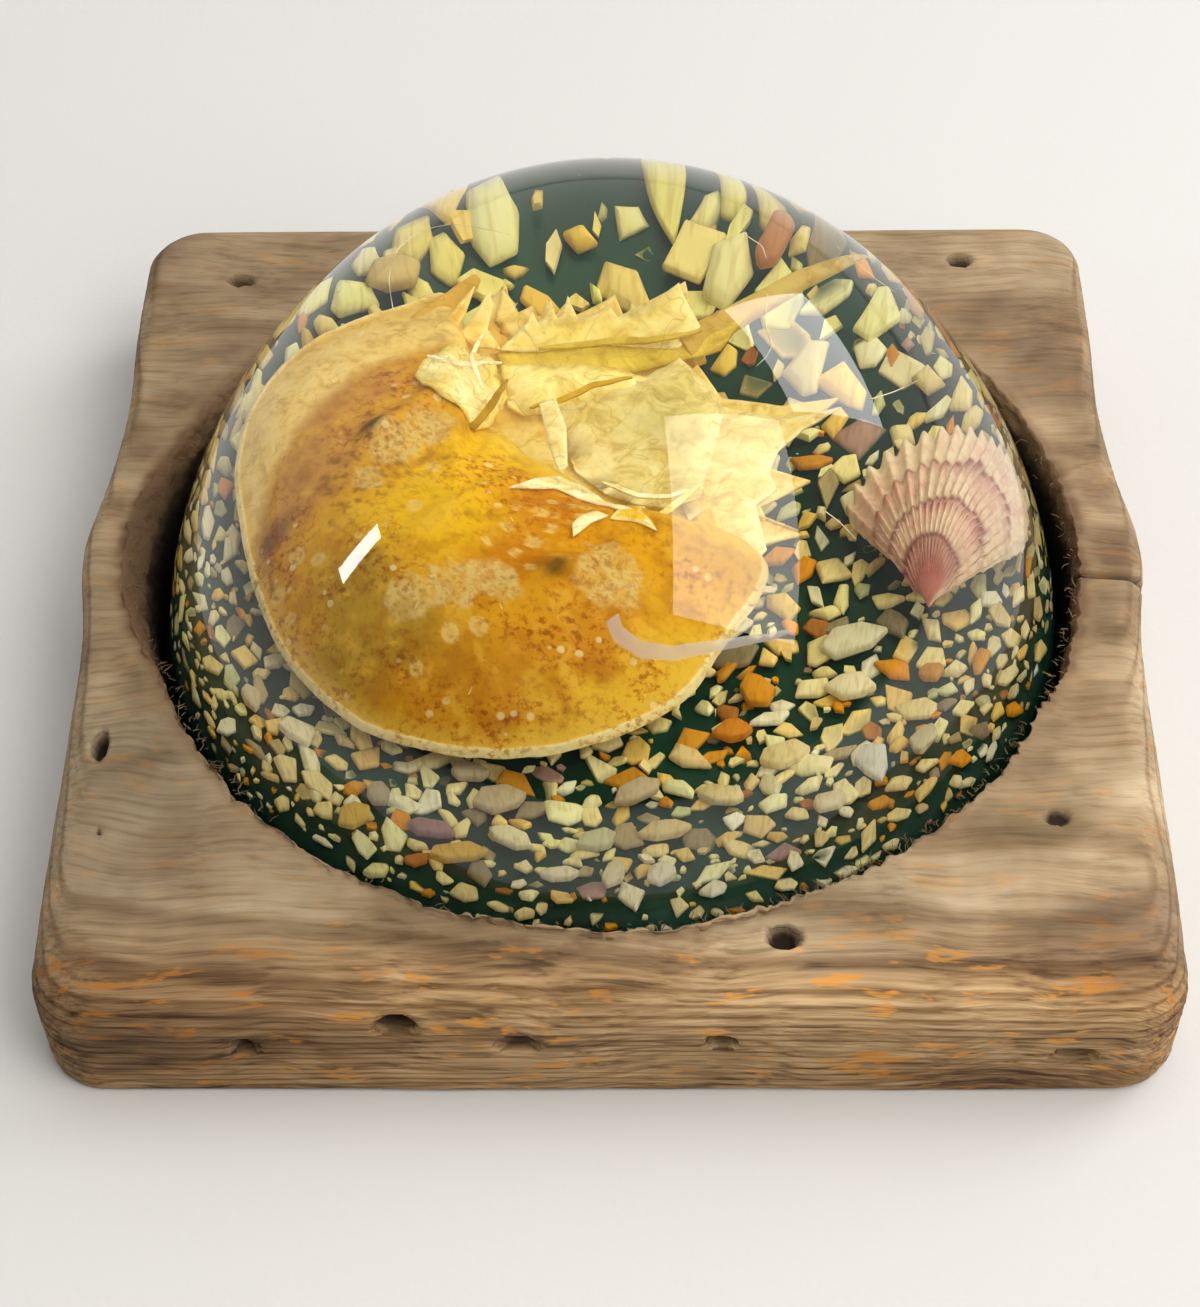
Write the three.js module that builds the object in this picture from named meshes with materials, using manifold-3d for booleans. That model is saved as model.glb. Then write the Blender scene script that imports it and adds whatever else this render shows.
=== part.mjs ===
// A young horseshoe crab's moult, a scallop shell and crushed shell, cast in a clear resin dome
// that sits in the round recess of a weathered wood block.
// Millimetres, +Z up. The origin is the middle of the block's underside, and -Y is its front.
import * as THREE from 'three';
import { mergeVertices } from 'three/addons/utils/BufferGeometryUtils.js';
import Module from 'manifold-3d';

const wasm = await Module();
wasm.setup();

// Clearance between pieces that touch
const GAP = 0.3;

// Wood block: three-quarter inch board, worn thinner
const BLOCK_HALF = 58.8;
const BLOCK_CORNER = 8;
const BOARD_THICK = 16.5;
const WORN_EDGE = 3;
const RECESS_FLOOR = 3;
const RECESS_RADIUS = 52.3;
const RIM_DEPTH = 3.5;

// Dome: a four inch mould. Its outline is one curve from the crown down to the foot.
const DOME_Y = 2;
const DOME_FOOT = RECESS_FLOOR + GAP;
const DOME_FOOT_RADIUS = 51.6;
const DOME_CROWN = 61;
const CROWN_HANDLE = 31;
const FOOT_HANDLE = 23;
const DOME_SIDES = 56;

// Layers of the casting, from the foot up
const BACKING_TOP = 15;
const CRUST_BOTTOM = BACKING_TOP + GAP;
const CRUST_TOP = 15.8;
const CRUST_RADIUS = 47.2;
const CHIP_TOP = 17.5;
const CHIP_POCKET_TOP = 17.9;
const CHIP_POCKET_RADIUS = 47.8;
const PARTING = 18.9;

// Moult: its own axes run from the middle of the head shield, +X to the tail and +Y to its right
const CRAB_X = -11.2;
const CRAB_Y = -3.4;
const CRAB_TURN = 36.87;
const SHIELD_RIM = 18.7;
const SHIELD_HEIGHT = 10.5;
const SHIELD_WALL = 1;
const ABDOMEN_BOTTOM = 19;
const ABDOMEN_THICK = 0.9;
const TAIL_ROOT_RADIUS = 1.3;

// Scallop valve: its hinge end, the way it fans out, and its size
const SCALLOP_X = 27.6;
const SCALLOP_Y = -8.4;
const SCALLOP_TURN = 81;
const SCALLOP_BOTTOM = 18.4;
const SCALLOP_REACH = 21;
const SCALLOP_HALF_FAN = 46;
const SCALLOP_RIBS = 16;
const SCALLOP_RISE = 4.6;

const radians = THREE.MathUtils.degToRad;

// The signed volume tells whether a closed mesh's faces point out
function signedVolume(geometry) {
  const position = geometry.getAttribute('position');
  const index = geometry.getIndex();
  const a = new THREE.Vector3();
  const b = new THREE.Vector3();
  const c = new THREE.Vector3();
  let volume = 0;
  for (let i = 0; i < index.count; i += 3) {
    a.fromBufferAttribute(position, index.getX(i));
    b.fromBufferAttribute(position, index.getX(i + 1));
    c.fromBufferAttribute(position, index.getX(i + 2));
    volume += a.dot(b.cross(c)) / 6;
  }
  return volume;
}

function welded(geometry) {
  const bare = geometry.clone();
  bare.deleteAttribute('normal');
  bare.deleteAttribute('uv');
  const merged = mergeVertices(bare, 1e-4);
  const index = Array.from(merged.getIndex().array);
  const kept = [];
  for (let i = 0; i < index.length; i += 3) {
    const [a, b, c] = index.slice(i, i + 3);
    if (a !== b && b !== c && c !== a) kept.push(a, b, c);
  }
  merged.setIndex(kept);
  if (signedVolume(merged) < 0) merged.setIndex(kept.reverse());
  return merged;
}

function solidOf(geometry) {
  const merged = welded(geometry);
  return new wasm.Manifold(new wasm.Mesh({
    numProp: 3,
    vertProperties: new Float32Array(merged.getAttribute('position').array),
    triVerts: new Uint32Array(merged.getIndex().array),
  }));
}

function geometryOf(solid) {
  const mesh = solid.getMesh();
  const geometry = new THREE.BufferGeometry();
  geometry.setAttribute('position', new THREE.BufferAttribute(new Float32Array(mesh.vertProperties), 3));
  geometry.setIndex(new THREE.BufferAttribute(new Uint32Array(mesh.triVerts), 1));
  return geometry;
}

function piece(name, solid, colour, roughness) {
  const geometry = geometryOf(solid);
  geometry.computeVertexNormals();
  const material = new THREE.MeshStandardMaterial({ color: colour, roughness, metalness: 0 });
  const mesh = new THREE.Mesh(geometry, material);
  mesh.name = name;
  return mesh;
}

// Moves every corner of a geometry by a function of its place
function shaped(geometry, move) {
  const position = geometry.getAttribute('position');
  const point = new THREE.Vector3();
  for (let i = 0; i < position.count; i += 1) {
    point.fromBufferAttribute(position, i);
    move(point);
    position.setXYZ(i, point.x, point.y, point.z);
  }
  return geometry;
}

// Always the same small random numbers, so that the scatter never changes
function seeded(seed) {
  let state = seed;
  return () => {
    state = (state * 1664525 + 1013904223) % 4294967296;
    return state / 4294967296;
  };
}

// Reads a value from a list of [angle, value] round a full turn, smoothly between its entries
function roundTheTurn(list, angle) {
  const turn = ((angle % 360) + 360) % 360;
  for (let i = 0; i < list.length; i += 1) {
    const [from, value] = list[i];
    const last = i === list.length - 1;
    const to = last ? list[0][0] + 360 : list[i + 1][0];
    const next = last ? list[0][1] : list[i + 1][1];
    const here = turn < list[0][0] ? turn + 360 : turn;
    if (here >= from && here <= to) return THREE.MathUtils.lerp(value, next, (here - from) / (to - from));
  }
  return list[0][1];
}

// A lathe shape stands along Y in three.js, so it is turned up to Z
function turned(profile, sides) {
  const lathe = new THREE.LatheGeometry(profile.map(([r, z]) => new THREE.Vector2(r, z)), sides);
  return lathe.rotateX(Math.PI / 2);
}

function upright(radius, bottom, top, sides) {
  const drum = new THREE.CylinderGeometry(radius, radius, top - bottom, sides);
  return drum.rotateX(Math.PI / 2).translate(0, 0, (top + bottom) / 2);
}

function slab(points, bottom, top) {
  const shape = new THREE.Shape(points.map(([x, y]) => new THREE.Vector2(x, y)));
  return new THREE.ExtrudeGeometry(shape, { depth: top - bottom, bevelEnabled: false }).translate(0, 0, bottom);
}

// Wood block

// Radius of the recess's worn rim round the dome's axis, by the angle from +X
const RIM_REACH = [
  [0, 52.6], [15, 52.6], [30, 52.8], [60, 52.4], [90, 51.6], [120, 52.6], [144, 53.8], [157, 52.6],
  [172, 55.2], [187, 54.4], [201, 51.8], [235, 51.8], [270, 51.2], [300, 51.4], [330, 51.7], [345, 52.2],
];

// Nail holes and knots in the top: [x, y, half length along the grain, half width, depth]
const TOP_HOLES = [
  [-46.7, 48.4, 1.3, 0.8, 2.5], [43.7, 51.9, 1.3, 1.0, 2.5], [-54.6, -26.1, 0.9, 1.8, 2.5],
  [17.8, -50.3, 1.7, 1.3, 2.5], [46.9, -35.9, 1.3, 1.0, 1.5],
];

// The same in the front face: [x, z, half length, half height, depth]
const FRONT_HOLES = [
  [-36.9, 8.5, 1.0, 0.6, 2.5], [-21.4, 12.1, 1.9, 0.6, 2.5], [-9.1, 8.9, 2.0, 0.8, 2.5],
  [11.4, 9.3, 1.1, 0.5, 2], [47.3, 6.6, 1.7, 0.8, 2.5],
];

function blockOutline() {
  const shape = new THREE.Shape();
  const flat = BLOCK_HALF - BLOCK_CORNER;
  shape.absarc(flat, flat, BLOCK_CORNER, 0, Math.PI / 2);
  shape.absarc(-flat, flat, BLOCK_CORNER, Math.PI / 2, Math.PI);
  shape.absarc(-flat, -flat, BLOCK_CORNER, Math.PI, 1.5 * Math.PI);
  shape.absarc(flat, -flat, BLOCK_CORNER, 1.5 * Math.PI, 2 * Math.PI);
  shape.closePath();
  const points = shape.getSpacedPoints(84).slice(0, -1);
  for (const point of points) {
    // The sides swell beside the middle of the recess, and the back edge dips a little
    const swell = 1.7 * Math.exp(-(((point.y - 3) / 9) ** 2)) - 0.6 * Math.exp(-(((point.y - 27) / 9) ** 2));
    if (Math.abs(point.x) > 50) point.x += Math.sign(point.x) * swell;
    if (point.y > 50) point.y -= 0.5 * Math.cos((point.x / BLOCK_HALF) * (Math.PI / 2)) ** 2;
    if (point.y < -50) point.y -= 0.4 * Math.cos((point.x / BLOCK_HALF) * Math.PI);
  }
  return points;
}

function woodBase() {
  const body = new THREE.ExtrudeGeometry(new THREE.Shape(blockOutline()), {
    depth: BOARD_THICK - 2 * WORN_EDGE,
    bevelThickness: WORN_EDGE,
    bevelSize: WORN_EDGE,
    bevelOffset: -WORN_EDGE,
    bevelSegments: 2,
  }).translate(0, 0, WORN_EDGE);
  const rim = [];
  for (let angle = 0; angle < 360; angle += 7.5) {
    const reach = roundTheTurn(RIM_REACH, angle);
    rim.push([reach * Math.cos(radians(angle)), DOME_Y + reach * Math.sin(radians(angle))]);
  }
  let wood = solidOf(body);
  wood = wood.subtract(solidOf(slab(rim, BOARD_THICK - RIM_DEPTH, BOARD_THICK + 10)));
  const recess = upright(RECESS_RADIUS, RECESS_FLOOR, BOARD_THICK - RIM_DEPTH + 0.5, 48);
  wood = wood.subtract(solidOf(recess.translate(0, DOME_Y, 0)));
  for (const [x, y, long, wide, depth] of TOP_HOLES) {
    const pit = new THREE.CylinderGeometry(1, 0.7, 2 * depth, 7).rotateX(Math.PI / 2);
    wood = wood.subtract(solidOf(pit.scale(long, wide, 1).translate(x, y, BOARD_THICK)));
  }
  for (const [x, z, long, high, depth] of FRONT_HOLES) {
    const pit = new THREE.CylinderGeometry(0.7, 1, 2 * depth, 7);
    wood = wood.subtract(solidOf(pit.scale(long, 1, high).translate(x, -BLOCK_HALF, z)));
  }
  // A drying crack runs from the recess to the right side
  const crack = new THREE.BoxGeometry(12, 0.5, 5).rotateZ(radians(-2)).translate(56, -2, BOARD_THICK);
  return wood.subtract(solidOf(crack));
}

// Dome

const domeCurve = new THREE.CubicBezierCurve(
  new THREE.Vector2(DOME_FOOT_RADIUS, DOME_FOOT),
  new THREE.Vector2(DOME_FOOT_RADIUS, DOME_FOOT + FOOT_HANDLE),
  new THREE.Vector2(CROWN_HANDLE, DOME_CROWN),
  new THREE.Vector2(0, DOME_CROWN),
);

// A layer of the dome between two heights, as one closed solid of revolution
function domeLayer(bottom, top, steps) {
  const line = domeCurve.getPoints(200);
  const radiusAt = (height) => {
    const above = line.findIndex((p) => p.y >= height);
    if (above <= 0) return above === 0 ? line[0].x : 0;
    const low = line[above - 1];
    const high = line[above];
    return THREE.MathUtils.lerp(low.x, high.x, (height - low.y) / (high.y - low.y));
  };
  const profile = [[0, bottom]];
  for (let i = 0; i <= steps; i += 1) {
    // Steps close up towards the crown, where the curve turns fastest
    const height = bottom + (top - bottom) * Math.sin((i / steps) * (Math.PI / 2));
    profile.push([radiusAt(height), height]);
  }
  if (profile[profile.length - 1][0] > 0.01) profile.push([0, top]);
  else profile[profile.length - 1][0] = 0;
  return solidOf(turned(profile, DOME_SIDES).translate(0, DOME_Y, 0));
}

function crabPlace(geometry) {
  return geometry.rotateZ(radians(CRAB_TURN)).translate(CRAB_X, CRAB_Y, 0);
}

// Room round the moult and the scallop, a little larger than they are
function specimenPocket() {
  const shield = new THREE.SphereGeometry(1, 20, 10);
  shield.scale(26.5, 26.5, SHIELD_HEIGHT + 3.4).translate(0.5, 0, 17.5);
  const genal = slab([[6, 26], [20, 22], [21, 18], [8, 12]], 17, 23);
  const abdomen = slab([
    [8, 19], [19, 21], [30, 14.5], [42, 8], [42, 3.5], [34, 0], [33, -8], [27, -11.5], [18, -22], [5, -22],
  ], 17, 25.5);
  const scallop = new THREE.SphereGeometry(1, 16, 8).scale(14.4, 13.2, 7).translate(29, 1.6, 18.8);
  return solidOf(crabPlace(shield))
    .add(solidOf(crabPlace(genal)))
    .add(solidOf(crabPlace(abdomen)))
    .add(solidOf(scallop))
    .intersect(solidOf(upright(60, 16.5, 60, 24)));
}

function domeHalves() {
  const pocket = specimenPocket();
  const room = upright(CHIP_POCKET_RADIUS, CRUST_BOTTOM - 2, CHIP_POCKET_TOP, 40);
  const chipPocket = solidOf(room.translate(0, DOME_Y, 0));
  const lower = domeLayer(CRUST_BOTTOM, PARTING - GAP / 2, 1).subtract(chipPocket).subtract(pocket);
  const upper = domeLayer(PARTING + GAP / 2, DOME_CROWN, 12).subtract(pocket);
  return { lower, upper };
}

// Crushed shell

// The largest fragments: [x, y, length, width, turn, colour]
const LARGE_CHIPS = [
  [-26.9, -36.5, 5.5, 3.2, 40, 0xd9b25e], [-15.9, -41.6, 6.2, 3.0, 15, 0xd8b04c],
  [-17.2, -35.2, 4.8, 2.8, 170, 0x9a7d84], [-9.3, -35.8, 5.2, 3.0, 150, 0xe6dcb4],
  [-10.0, -30.2, 4.8, 3.6, 20, 0xb9a98c], [-4.8, -41.6, 4.2, 2.2, 10, 0xe8e0c4],
  [0.6, -41.2, 4.4, 2.4, 80, 0xd9d0ae], [5.2, -41.4, 3.8, 3.2, 30, 0xe4dfca],
  [5.3, -34.6, 5.0, 2.6, 10, 0xd8c493], [-21.9, -30.2, 3.8, 2.8, 60, 0xa89c86],
  [-0.8, -36.0, 4.4, 3.0, 20, 0xc9c9a2], [12.4, -15.4, 4.6, 2.8, 120, 0xe0a02c],
  [10.8, -20.6, 3.6, 3.0, 10, 0xd98f2a], [15.9, -24.2, 5.4, 3.2, 20, 0xe8d6a2],
  [20.9, -15.6, 4.6, 3.6, 0, 0xefe4be], [20.4, -9.6, 6.4, 4.0, 20, 0xd9d6b8],
  [24.8, -26.2, 6.0, 3.4, 120, 0xdadbd2], [10.4, -29.6, 4.4, 2.6, 170, 0xe2cf98],
  [-29.4, -22.4, 4.8, 3.0, 160, 0xf0e6c4], [-34.4, -18.2, 3.8, 2.6, 90, 0xcdbf98],
  [29.9, -23.8, 4.0, 2.8, 60, 0xcfc49c], [28.9, -14.4, 3.0, 2.4, 0, 0xc98f3e],
  [21.0, -31.4, 4.2, 2.6, 15, 0xe4d8b0], [2.3, -28.8, 4.8, 3.0, 40, 0xc4b896],
  [-12.6, -26.2, 4.0, 2.4, 0, 0xb5a98e], [21.0, 24.0, 3.6, 2.2, 100, 0xd9a24a],
  [9.0, 27.0, 3.2, 1.8, 60, 0xc98a5a], [-13.0, 25.0, 4.0, 2.0, 20, 0xd8c080],
  [31.0, 21.5, 3.4, 2.2, 130, 0xe0d2a0], [-30.5, 17.0, 4.0, 2.4, 80, 0xd6c8a0],
];

// A flat broken fragment with six uneven corners
function fragment(length, width, bottom, top, draw) {
  const corners = [];
  for (let i = 0; i < 6; i += 1) {
    const angle = radians(60 * i + 24 * (draw() - 0.5));
    const reach = 0.82 + 0.36 * draw();
    corners.push([(length / 2) * reach * Math.cos(angle), (width / 2) * reach * Math.sin(angle)]);
  }
  return slab(corners, bottom, top);
}

// A fragment near the edge is drawn in until it clears the dome's wall
function drawnIn(x, y, length) {
  const reach = Math.hypot(x, y - DOME_Y);
  const limit = CRUST_RADIUS - 0.6 * length;
  const share = reach > limit ? limit / reach : 1;
  return [x * share, DOME_Y + (y - DOME_Y) * share];
}

function largeChip([x, y, length, width, turn], number) {
  const draw = seeded(97 + number);
  const top = CHIP_TOP - 0.5 * draw();
  const chip = fragment(length, width, CRUST_TOP + GAP, top, draw);
  return solidOf(chip.rotateZ(radians(turn)).translate(...drawnIn(x, y, length), 0));
}

// The small fragments lie as one crust on the green resin, clear of the large ones
function chipCrust() {
  const draw = seeded(11);
  let crust = solidOf(upright(CRUST_RADIUS, CRUST_BOTTOM, CRUST_TOP, 40).translate(0, DOME_Y, 0));
  const placed = [];
  while (placed.length < 62) {
    const reach = (CRUST_RADIUS - 3) * Math.sqrt(draw());
    const angle = 2 * Math.PI * draw();
    const x = reach * Math.cos(angle);
    const y = DOME_Y + reach * Math.sin(angle);
    const length = 2.6 + 1.6 * draw();
    const width = length * (0.6 + 0.3 * draw());
    const turn = 180 * draw();
    const top = CRUST_TOP + 0.7 + 0.9 * draw();
    const clearOfLarge = LARGE_CHIPS.every(([cx, cy, l]) => {
      const [lx, ly] = drawnIn(cx, cy, l);
      return Math.hypot(x - lx, y - ly) > 0.6 * (l + length) + GAP;
    });
    const clearOfSmall = placed.every(([px, py, l]) => Math.hypot(x - px, y - py) > 0.62 * (l + length));
    if (clearOfLarge && clearOfSmall) {
      placed.push([x, y, length]);
      const chip = fragment(length, width, CRUST_TOP - 0.2, top, draw);
      crust = crust.add(solidOf(chip.rotateZ(radians(turn)).translate(x, y, 0)));
    }
  }
  return crust;
}

// Horseshoe crab moult

// Reach of the head shield from 2 mm ahead of its middle, by the angle from the tail's way.
// The two long reaches are its swept-back corners.
const SHIELD_REACH = [
  [0, 12.6], [20, 11.9], [36, 14], [42, 17.5], [46.6, 27.8], [54, 26], [63, 25.2], [75, 24.8], [89, 24.4],
  [98, 24], [111, 22.3], [124, 20.2], [141, 19], [153, 18.8], [172, 19.7], [184, 20.5], [196, 21.3],
  [206, 21.8], [222, 22], [236, 22.4], [254, 23.2], [274, 23.9], [287, 24.3], [300, 23.6],
  [311, 24], [322.6, 26], [328, 22.4], [332, 18], [337, 15], [348, 13.2],
];
const SHIELD_MIDDLE = -2;

// Abdomen seen from above, from its left front corner round by the tail: roots and tips of its side
// spines, the notch where the tail joins, and the longer spines of the other side
const ABDOMEN_OUTLINE = [
  [9, 17], [14, 17.2], [19.3, 18.3], [17, 16.5], [19.9, 16.2], [19.6, 15.2], [20.9, 16], [20.5, 14.8],
  [22, 15.2], [21.7, 14], [24.6, 13.8], [24.2, 12.4], [28.6, 11.9], [27.6, 9.3], [26, 8.4], [25.5, 2.6],
  [28.4, -0.6], [32, -2.7], [26.5, -3.6], [24.6, -5.4], [26.4, -8.4], [21.9, -8.4], [21.4, -10.2],
  [23, -13.1], [19, -11.8], [17, -11.8], [14, -13.5], [8, -13],
];

function shieldShell(shrink, bottom, height) {
  const ball = new THREE.SphereGeometry(1, 40, 12);
  return shaped(ball.rotateX(Math.PI / 2), (p) => {
    const angle = THREE.MathUtils.radToDeg(Math.atan2(p.y, p.x));
    const spread = Math.hypot(p.x, p.y);
    const reach = Math.max(roundTheTurn(SHIELD_REACH, angle) - shrink, 1);
    p.x = SHIELD_MIDDLE + reach * spread * Math.cos(radians(angle));
    p.y = reach * spread * Math.sin(radians(angle));
    p.z = bottom + height * Math.max(p.z, 0) ** 0.9;
  });
}

function bump(x, y, z, long, wide, high, turn) {
  const ball = new THREE.SphereGeometry(1, 10, 4).scale(long, wide, high);
  return solidOf(ball.rotateZ(radians(turn)).translate(x, y, z));
}

function horseshoeCrab() {
  const crown = SHIELD_RIM + SHIELD_HEIGHT;
  const hollow = solidOf(shieldShell(SHIELD_WALL, SHIELD_RIM - 0.8, SHIELD_HEIGHT));
  // The keel and the eye ridges stand on the shield, and their undersides are cut with the hollow
  let shield = solidOf(shieldShell(0, SHIELD_RIM, SHIELD_HEIGHT))
    .add(bump(-3, 0, crown - 0.5, 9, 1.1, 1, 0))
    .add(bump(1, 10.6, crown - 1.9, 6, 1.1, 1.2, 10))
    .add(bump(1, -10.6, crown - 1.9, 6, 1.1, 1.2, -10))
    .add(bump(-1, 10.6, crown - 1.3, 1.7, 1.2, 1.1, 0))
    .add(bump(-1, -10.6, crown - 1.3, 1.7, 1.2, 1.1, 0));
  shield = shield.subtract(hollow);
  const plate = slab(ABDOMEN_OUTLINE, ABDOMEN_BOTTOM, ABDOMEN_BOTTOM + ABDOMEN_THICK);
  const lobe = bump(17, 2.5, ABDOMEN_BOTTOM + 0.5, 10, 8.5, 3.4, 0)
    .intersect(solidOf(slab([[0, -20], [40, -20], [40, 20], [0, 20]], ABDOMEN_BOTTOM, 40)));
  const tail = new THREE.ConeGeometry(TAIL_ROOT_RADIUS, 15.5, 6)
    .rotateZ(-Math.PI / 2)
    .rotateZ(radians(-6))
    .translate(33.2, 6.8, ABDOMEN_BOTTOM + 1.2);
  const whole = shield.add(solidOf(plate)).add(lobe).add(solidOf(tail));
  return whole.rotate([0, 0, CRAB_TURN]).translate([CRAB_X, CRAB_Y, 0]);
}

// Scallop

// A ball whose pole is the hinge end: its turn becomes the fan, its height the shell's rise
function scallopShell() {
  const around = 72;
  const ball = new THREE.SphereGeometry(1, around, 8).rotateX(Math.PI / 2);
  const fan = shaped(ball, (p) => {
    const turn = THREE.MathUtils.radToDeg(Math.atan2(p.y, p.x));
    const spread = Math.hypot(p.x, p.y);
    // Nine tenths of the turn is spread over the fan, the rest closes round the hinge
    const share = turn / 180;
    const inFan = Math.abs(share) < 0.9;
    const closing = THREE.MathUtils.lerp(SCALLOP_HALF_FAN, 180, (Math.abs(share) - 0.9) / 0.1);
    const angle = inFan ? (share / 0.9) * SCALLOP_HALF_FAN : Math.sign(share) * closing;
    const rib = inFan ? Math.cos((share / 0.9) * SCALLOP_RIBS * Math.PI) : 0;
    const off = Math.min(Math.abs(angle) / SCALLOP_HALF_FAN, 1);
    const full = inFan ? SCALLOP_REACH * (1 - 0.3 * off ** 4) + 0.35 * rib : 1.4;
    const outward = full * (1 - Math.sqrt(Math.max(1 - spread * spread, 0)) ** 2.2);
    const ear = inFan ? 1 : 0.6;
    const rise = p.z > 0 ? SCALLOP_RISE : 0.9 * SCALLOP_RISE;
    const along = full > 0 ? outward / full : 0;
    const arch = Math.sin(Math.PI * Math.min(along, 1) ** 0.75) * (1 - 0.55 * off ** 2) * rise * ear;
    const lift = p.z > 0 ? arch + 0.9 + 0.35 * rib * along : arch * 0.92;
    const edge = spread > 0.999 ? 0.45 : lift;
    p.set(outward * Math.cos(radians(angle)), outward * Math.sin(radians(angle)), edge);
  });
  return solidOf(fan.rotateZ(radians(SCALLOP_TURN)).translate(SCALLOP_X, SCALLOP_Y, SCALLOP_BOTTOM));
}

const group = new THREE.Group();
const dome = domeHalves();
group.add(piece('wood_base', woodBase(), 0x8c7a66, 0.9));
group.add(piece('green_resin_backing', domeLayer(DOME_FOOT, BACKING_TOP, 3), 0x21452f, 0.3));
group.add(piece('shell_chip_crust', chipCrust(), 0xcdbd92, 0.6));
LARGE_CHIPS.forEach((chip, i) => {
  const number = String(i + 1).padStart(2, '0');
  group.add(piece(`shell_chip_${number}`, largeChip(chip, i), chip[5], 0.6));
});
group.add(piece('scallop_shell', scallopShell(), 0xc99a8a, 0.5));
group.add(piece('horseshoe_crab_moult', horseshoeCrab(), 0xc08a24, 0.4));
group.add(piece('resin_dome_lower', dome.lower, 0xdfe6e0, 0.03));
group.add(piece('resin_dome_upper', dome.upper, 0xdfe6e0, 0.03));

export default group;
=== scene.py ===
import math
import random

import bpy
import numpy as np
from mathutils import Matrix, Vector


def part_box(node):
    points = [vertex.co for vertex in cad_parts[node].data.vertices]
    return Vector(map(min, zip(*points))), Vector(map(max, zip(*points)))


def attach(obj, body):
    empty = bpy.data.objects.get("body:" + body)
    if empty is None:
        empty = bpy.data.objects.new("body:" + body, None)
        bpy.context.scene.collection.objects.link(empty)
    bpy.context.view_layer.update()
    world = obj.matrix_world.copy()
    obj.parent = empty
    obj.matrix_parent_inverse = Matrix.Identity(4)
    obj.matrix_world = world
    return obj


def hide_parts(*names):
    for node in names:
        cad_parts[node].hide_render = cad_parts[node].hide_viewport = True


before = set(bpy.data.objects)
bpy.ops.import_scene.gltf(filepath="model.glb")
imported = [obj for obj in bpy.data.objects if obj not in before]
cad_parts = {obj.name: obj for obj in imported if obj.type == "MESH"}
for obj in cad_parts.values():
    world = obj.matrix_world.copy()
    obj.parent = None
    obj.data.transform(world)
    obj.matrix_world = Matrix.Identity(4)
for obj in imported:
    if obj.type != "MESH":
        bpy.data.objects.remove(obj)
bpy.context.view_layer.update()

MM = 0.001

# Sizes in millimetres, in the CAD frame: the block's underside is z = 0, -Y is its front
DOME_Y = 2.0
BOARD_TOP = 16.5
RECESS_FLOOR = 3.0
BACKING_TOP = 15.0
DOME_FOOT = 3.3
DOME_CROWN = 61.0
DOME_WIDEST = 51.6
DOME_TOP_PULL = 31.0
DOME_SIDE_PULL = 26.0
DOME_BASE = 3.0
RECESS_RADIUS = 52.3
RESIN_IOR = 1.54


# Small helpers


def linear(hex_colour):
    """sRGB hex to the linear colour that shaders use."""
    parts = [int(hex_colour[i:i + 2], 16) / 255 for i in (1, 3, 5)]
    return tuple([c / 12.92 if c <= 0.04045 else ((c + 0.055) / 1.055) ** 2.4 for c in parts] + [1.0])


def node(tree, kind, links=None, sockets=None, **settings):
    """Adds one node: settings on it, values on its sockets, and links into its sockets."""
    made = tree.nodes.new(kind)
    for key, value in settings.items():
        setattr(made, key, value)
    for key, value in (sockets or {}).items():
        made.inputs[key].default_value = value
    for key, source in (links or {}).items():
        tree.links.new(source, made.inputs[key])
    return made


def new_material(name):
    material = bpy.data.materials.new(name)
    material.use_nodes = True
    tree = material.node_tree
    tree.nodes.clear()
    return material, tree


def ramp(tree, source, stops):
    """A colour ramp fed by source. stops are (place, hex colour)."""
    made = tree.nodes.new("ShaderNodeValToRGB")
    elements = made.color_ramp.elements
    while len(elements) < len(stops):
        elements.new(0.5)
    for element, (place, colour) in zip(elements, stops):
        element.position = place
        element.color = linear(colour)
    tree.links.new(source, made.inputs["Fac"])
    return made.outputs["Color"]


def deselect():
    if bpy.context.object and bpy.context.object.mode != "OBJECT":
        bpy.ops.object.mode_set(mode="OBJECT")
    bpy.ops.object.select_all(action="DESELECT")


def choose(obj):
    deselect()
    obj.select_set(True)
    bpy.context.view_layer.objects.active = obj


def mesh_piece(name, points, faces, material=None, smooth=True):
    """A piece from points in millimetres."""
    mesh = bpy.data.meshes.new(name)
    mesh.from_pydata([tuple(p) for p in np.asarray(points) * MM], [], [tuple(f) for f in faces])
    mesh.update()
    obj = bpy.data.objects.new(name, mesh)
    bpy.context.scene.collection.objects.link(obj)
    if smooth:
        mesh.polygons.foreach_set("use_smooth", [True] * len(mesh.polygons))
    if material:
        mesh.materials.append(material)
    return obj


def apply_modifier(obj, kind, **settings):
    choose(obj)
    made = obj.modifiers.new(kind, kind)
    for key, value in settings.items():
        setattr(made, key, value)
    bpy.ops.object.modifier_apply(modifier=made.name)


def points_of(obj):
    co = np.zeros(len(obj.data.vertices) * 3)
    obj.data.vertices.foreach_get("co", co)
    return co.reshape(-1, 3) / MM


def place_points(obj, points):
    obj.data.vertices.foreach_set("co", (np.asarray(points) * MM).ravel())
    obj.data.update()


def normals_of(obj):
    normal = np.zeros(len(obj.data.vertices) * 3)
    obj.data.vertex_normals.foreach_get("vector", normal)
    return normal.reshape(-1, 3)


def add_value(obj, name, values):
    made = obj.data.attributes.new(name, "FLOAT", "POINT")
    made.data.foreach_set("value", np.asarray(values, dtype=np.float32))


def add_colour(obj, name, colours):
    made = obj.data.attributes.new(name, "FLOAT_COLOR", "POINT")
    rgba = np.ones((len(colours), 4), dtype=np.float32)
    rgba[:, :3] = colours
    made.data.foreach_set("color", rgba.ravel())


def smoothstep(low, high, value):
    share = np.clip((np.asarray(value, dtype=float) - low) / (high - low), 0, 1)
    return share * share * (3 - 2 * share)


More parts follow.
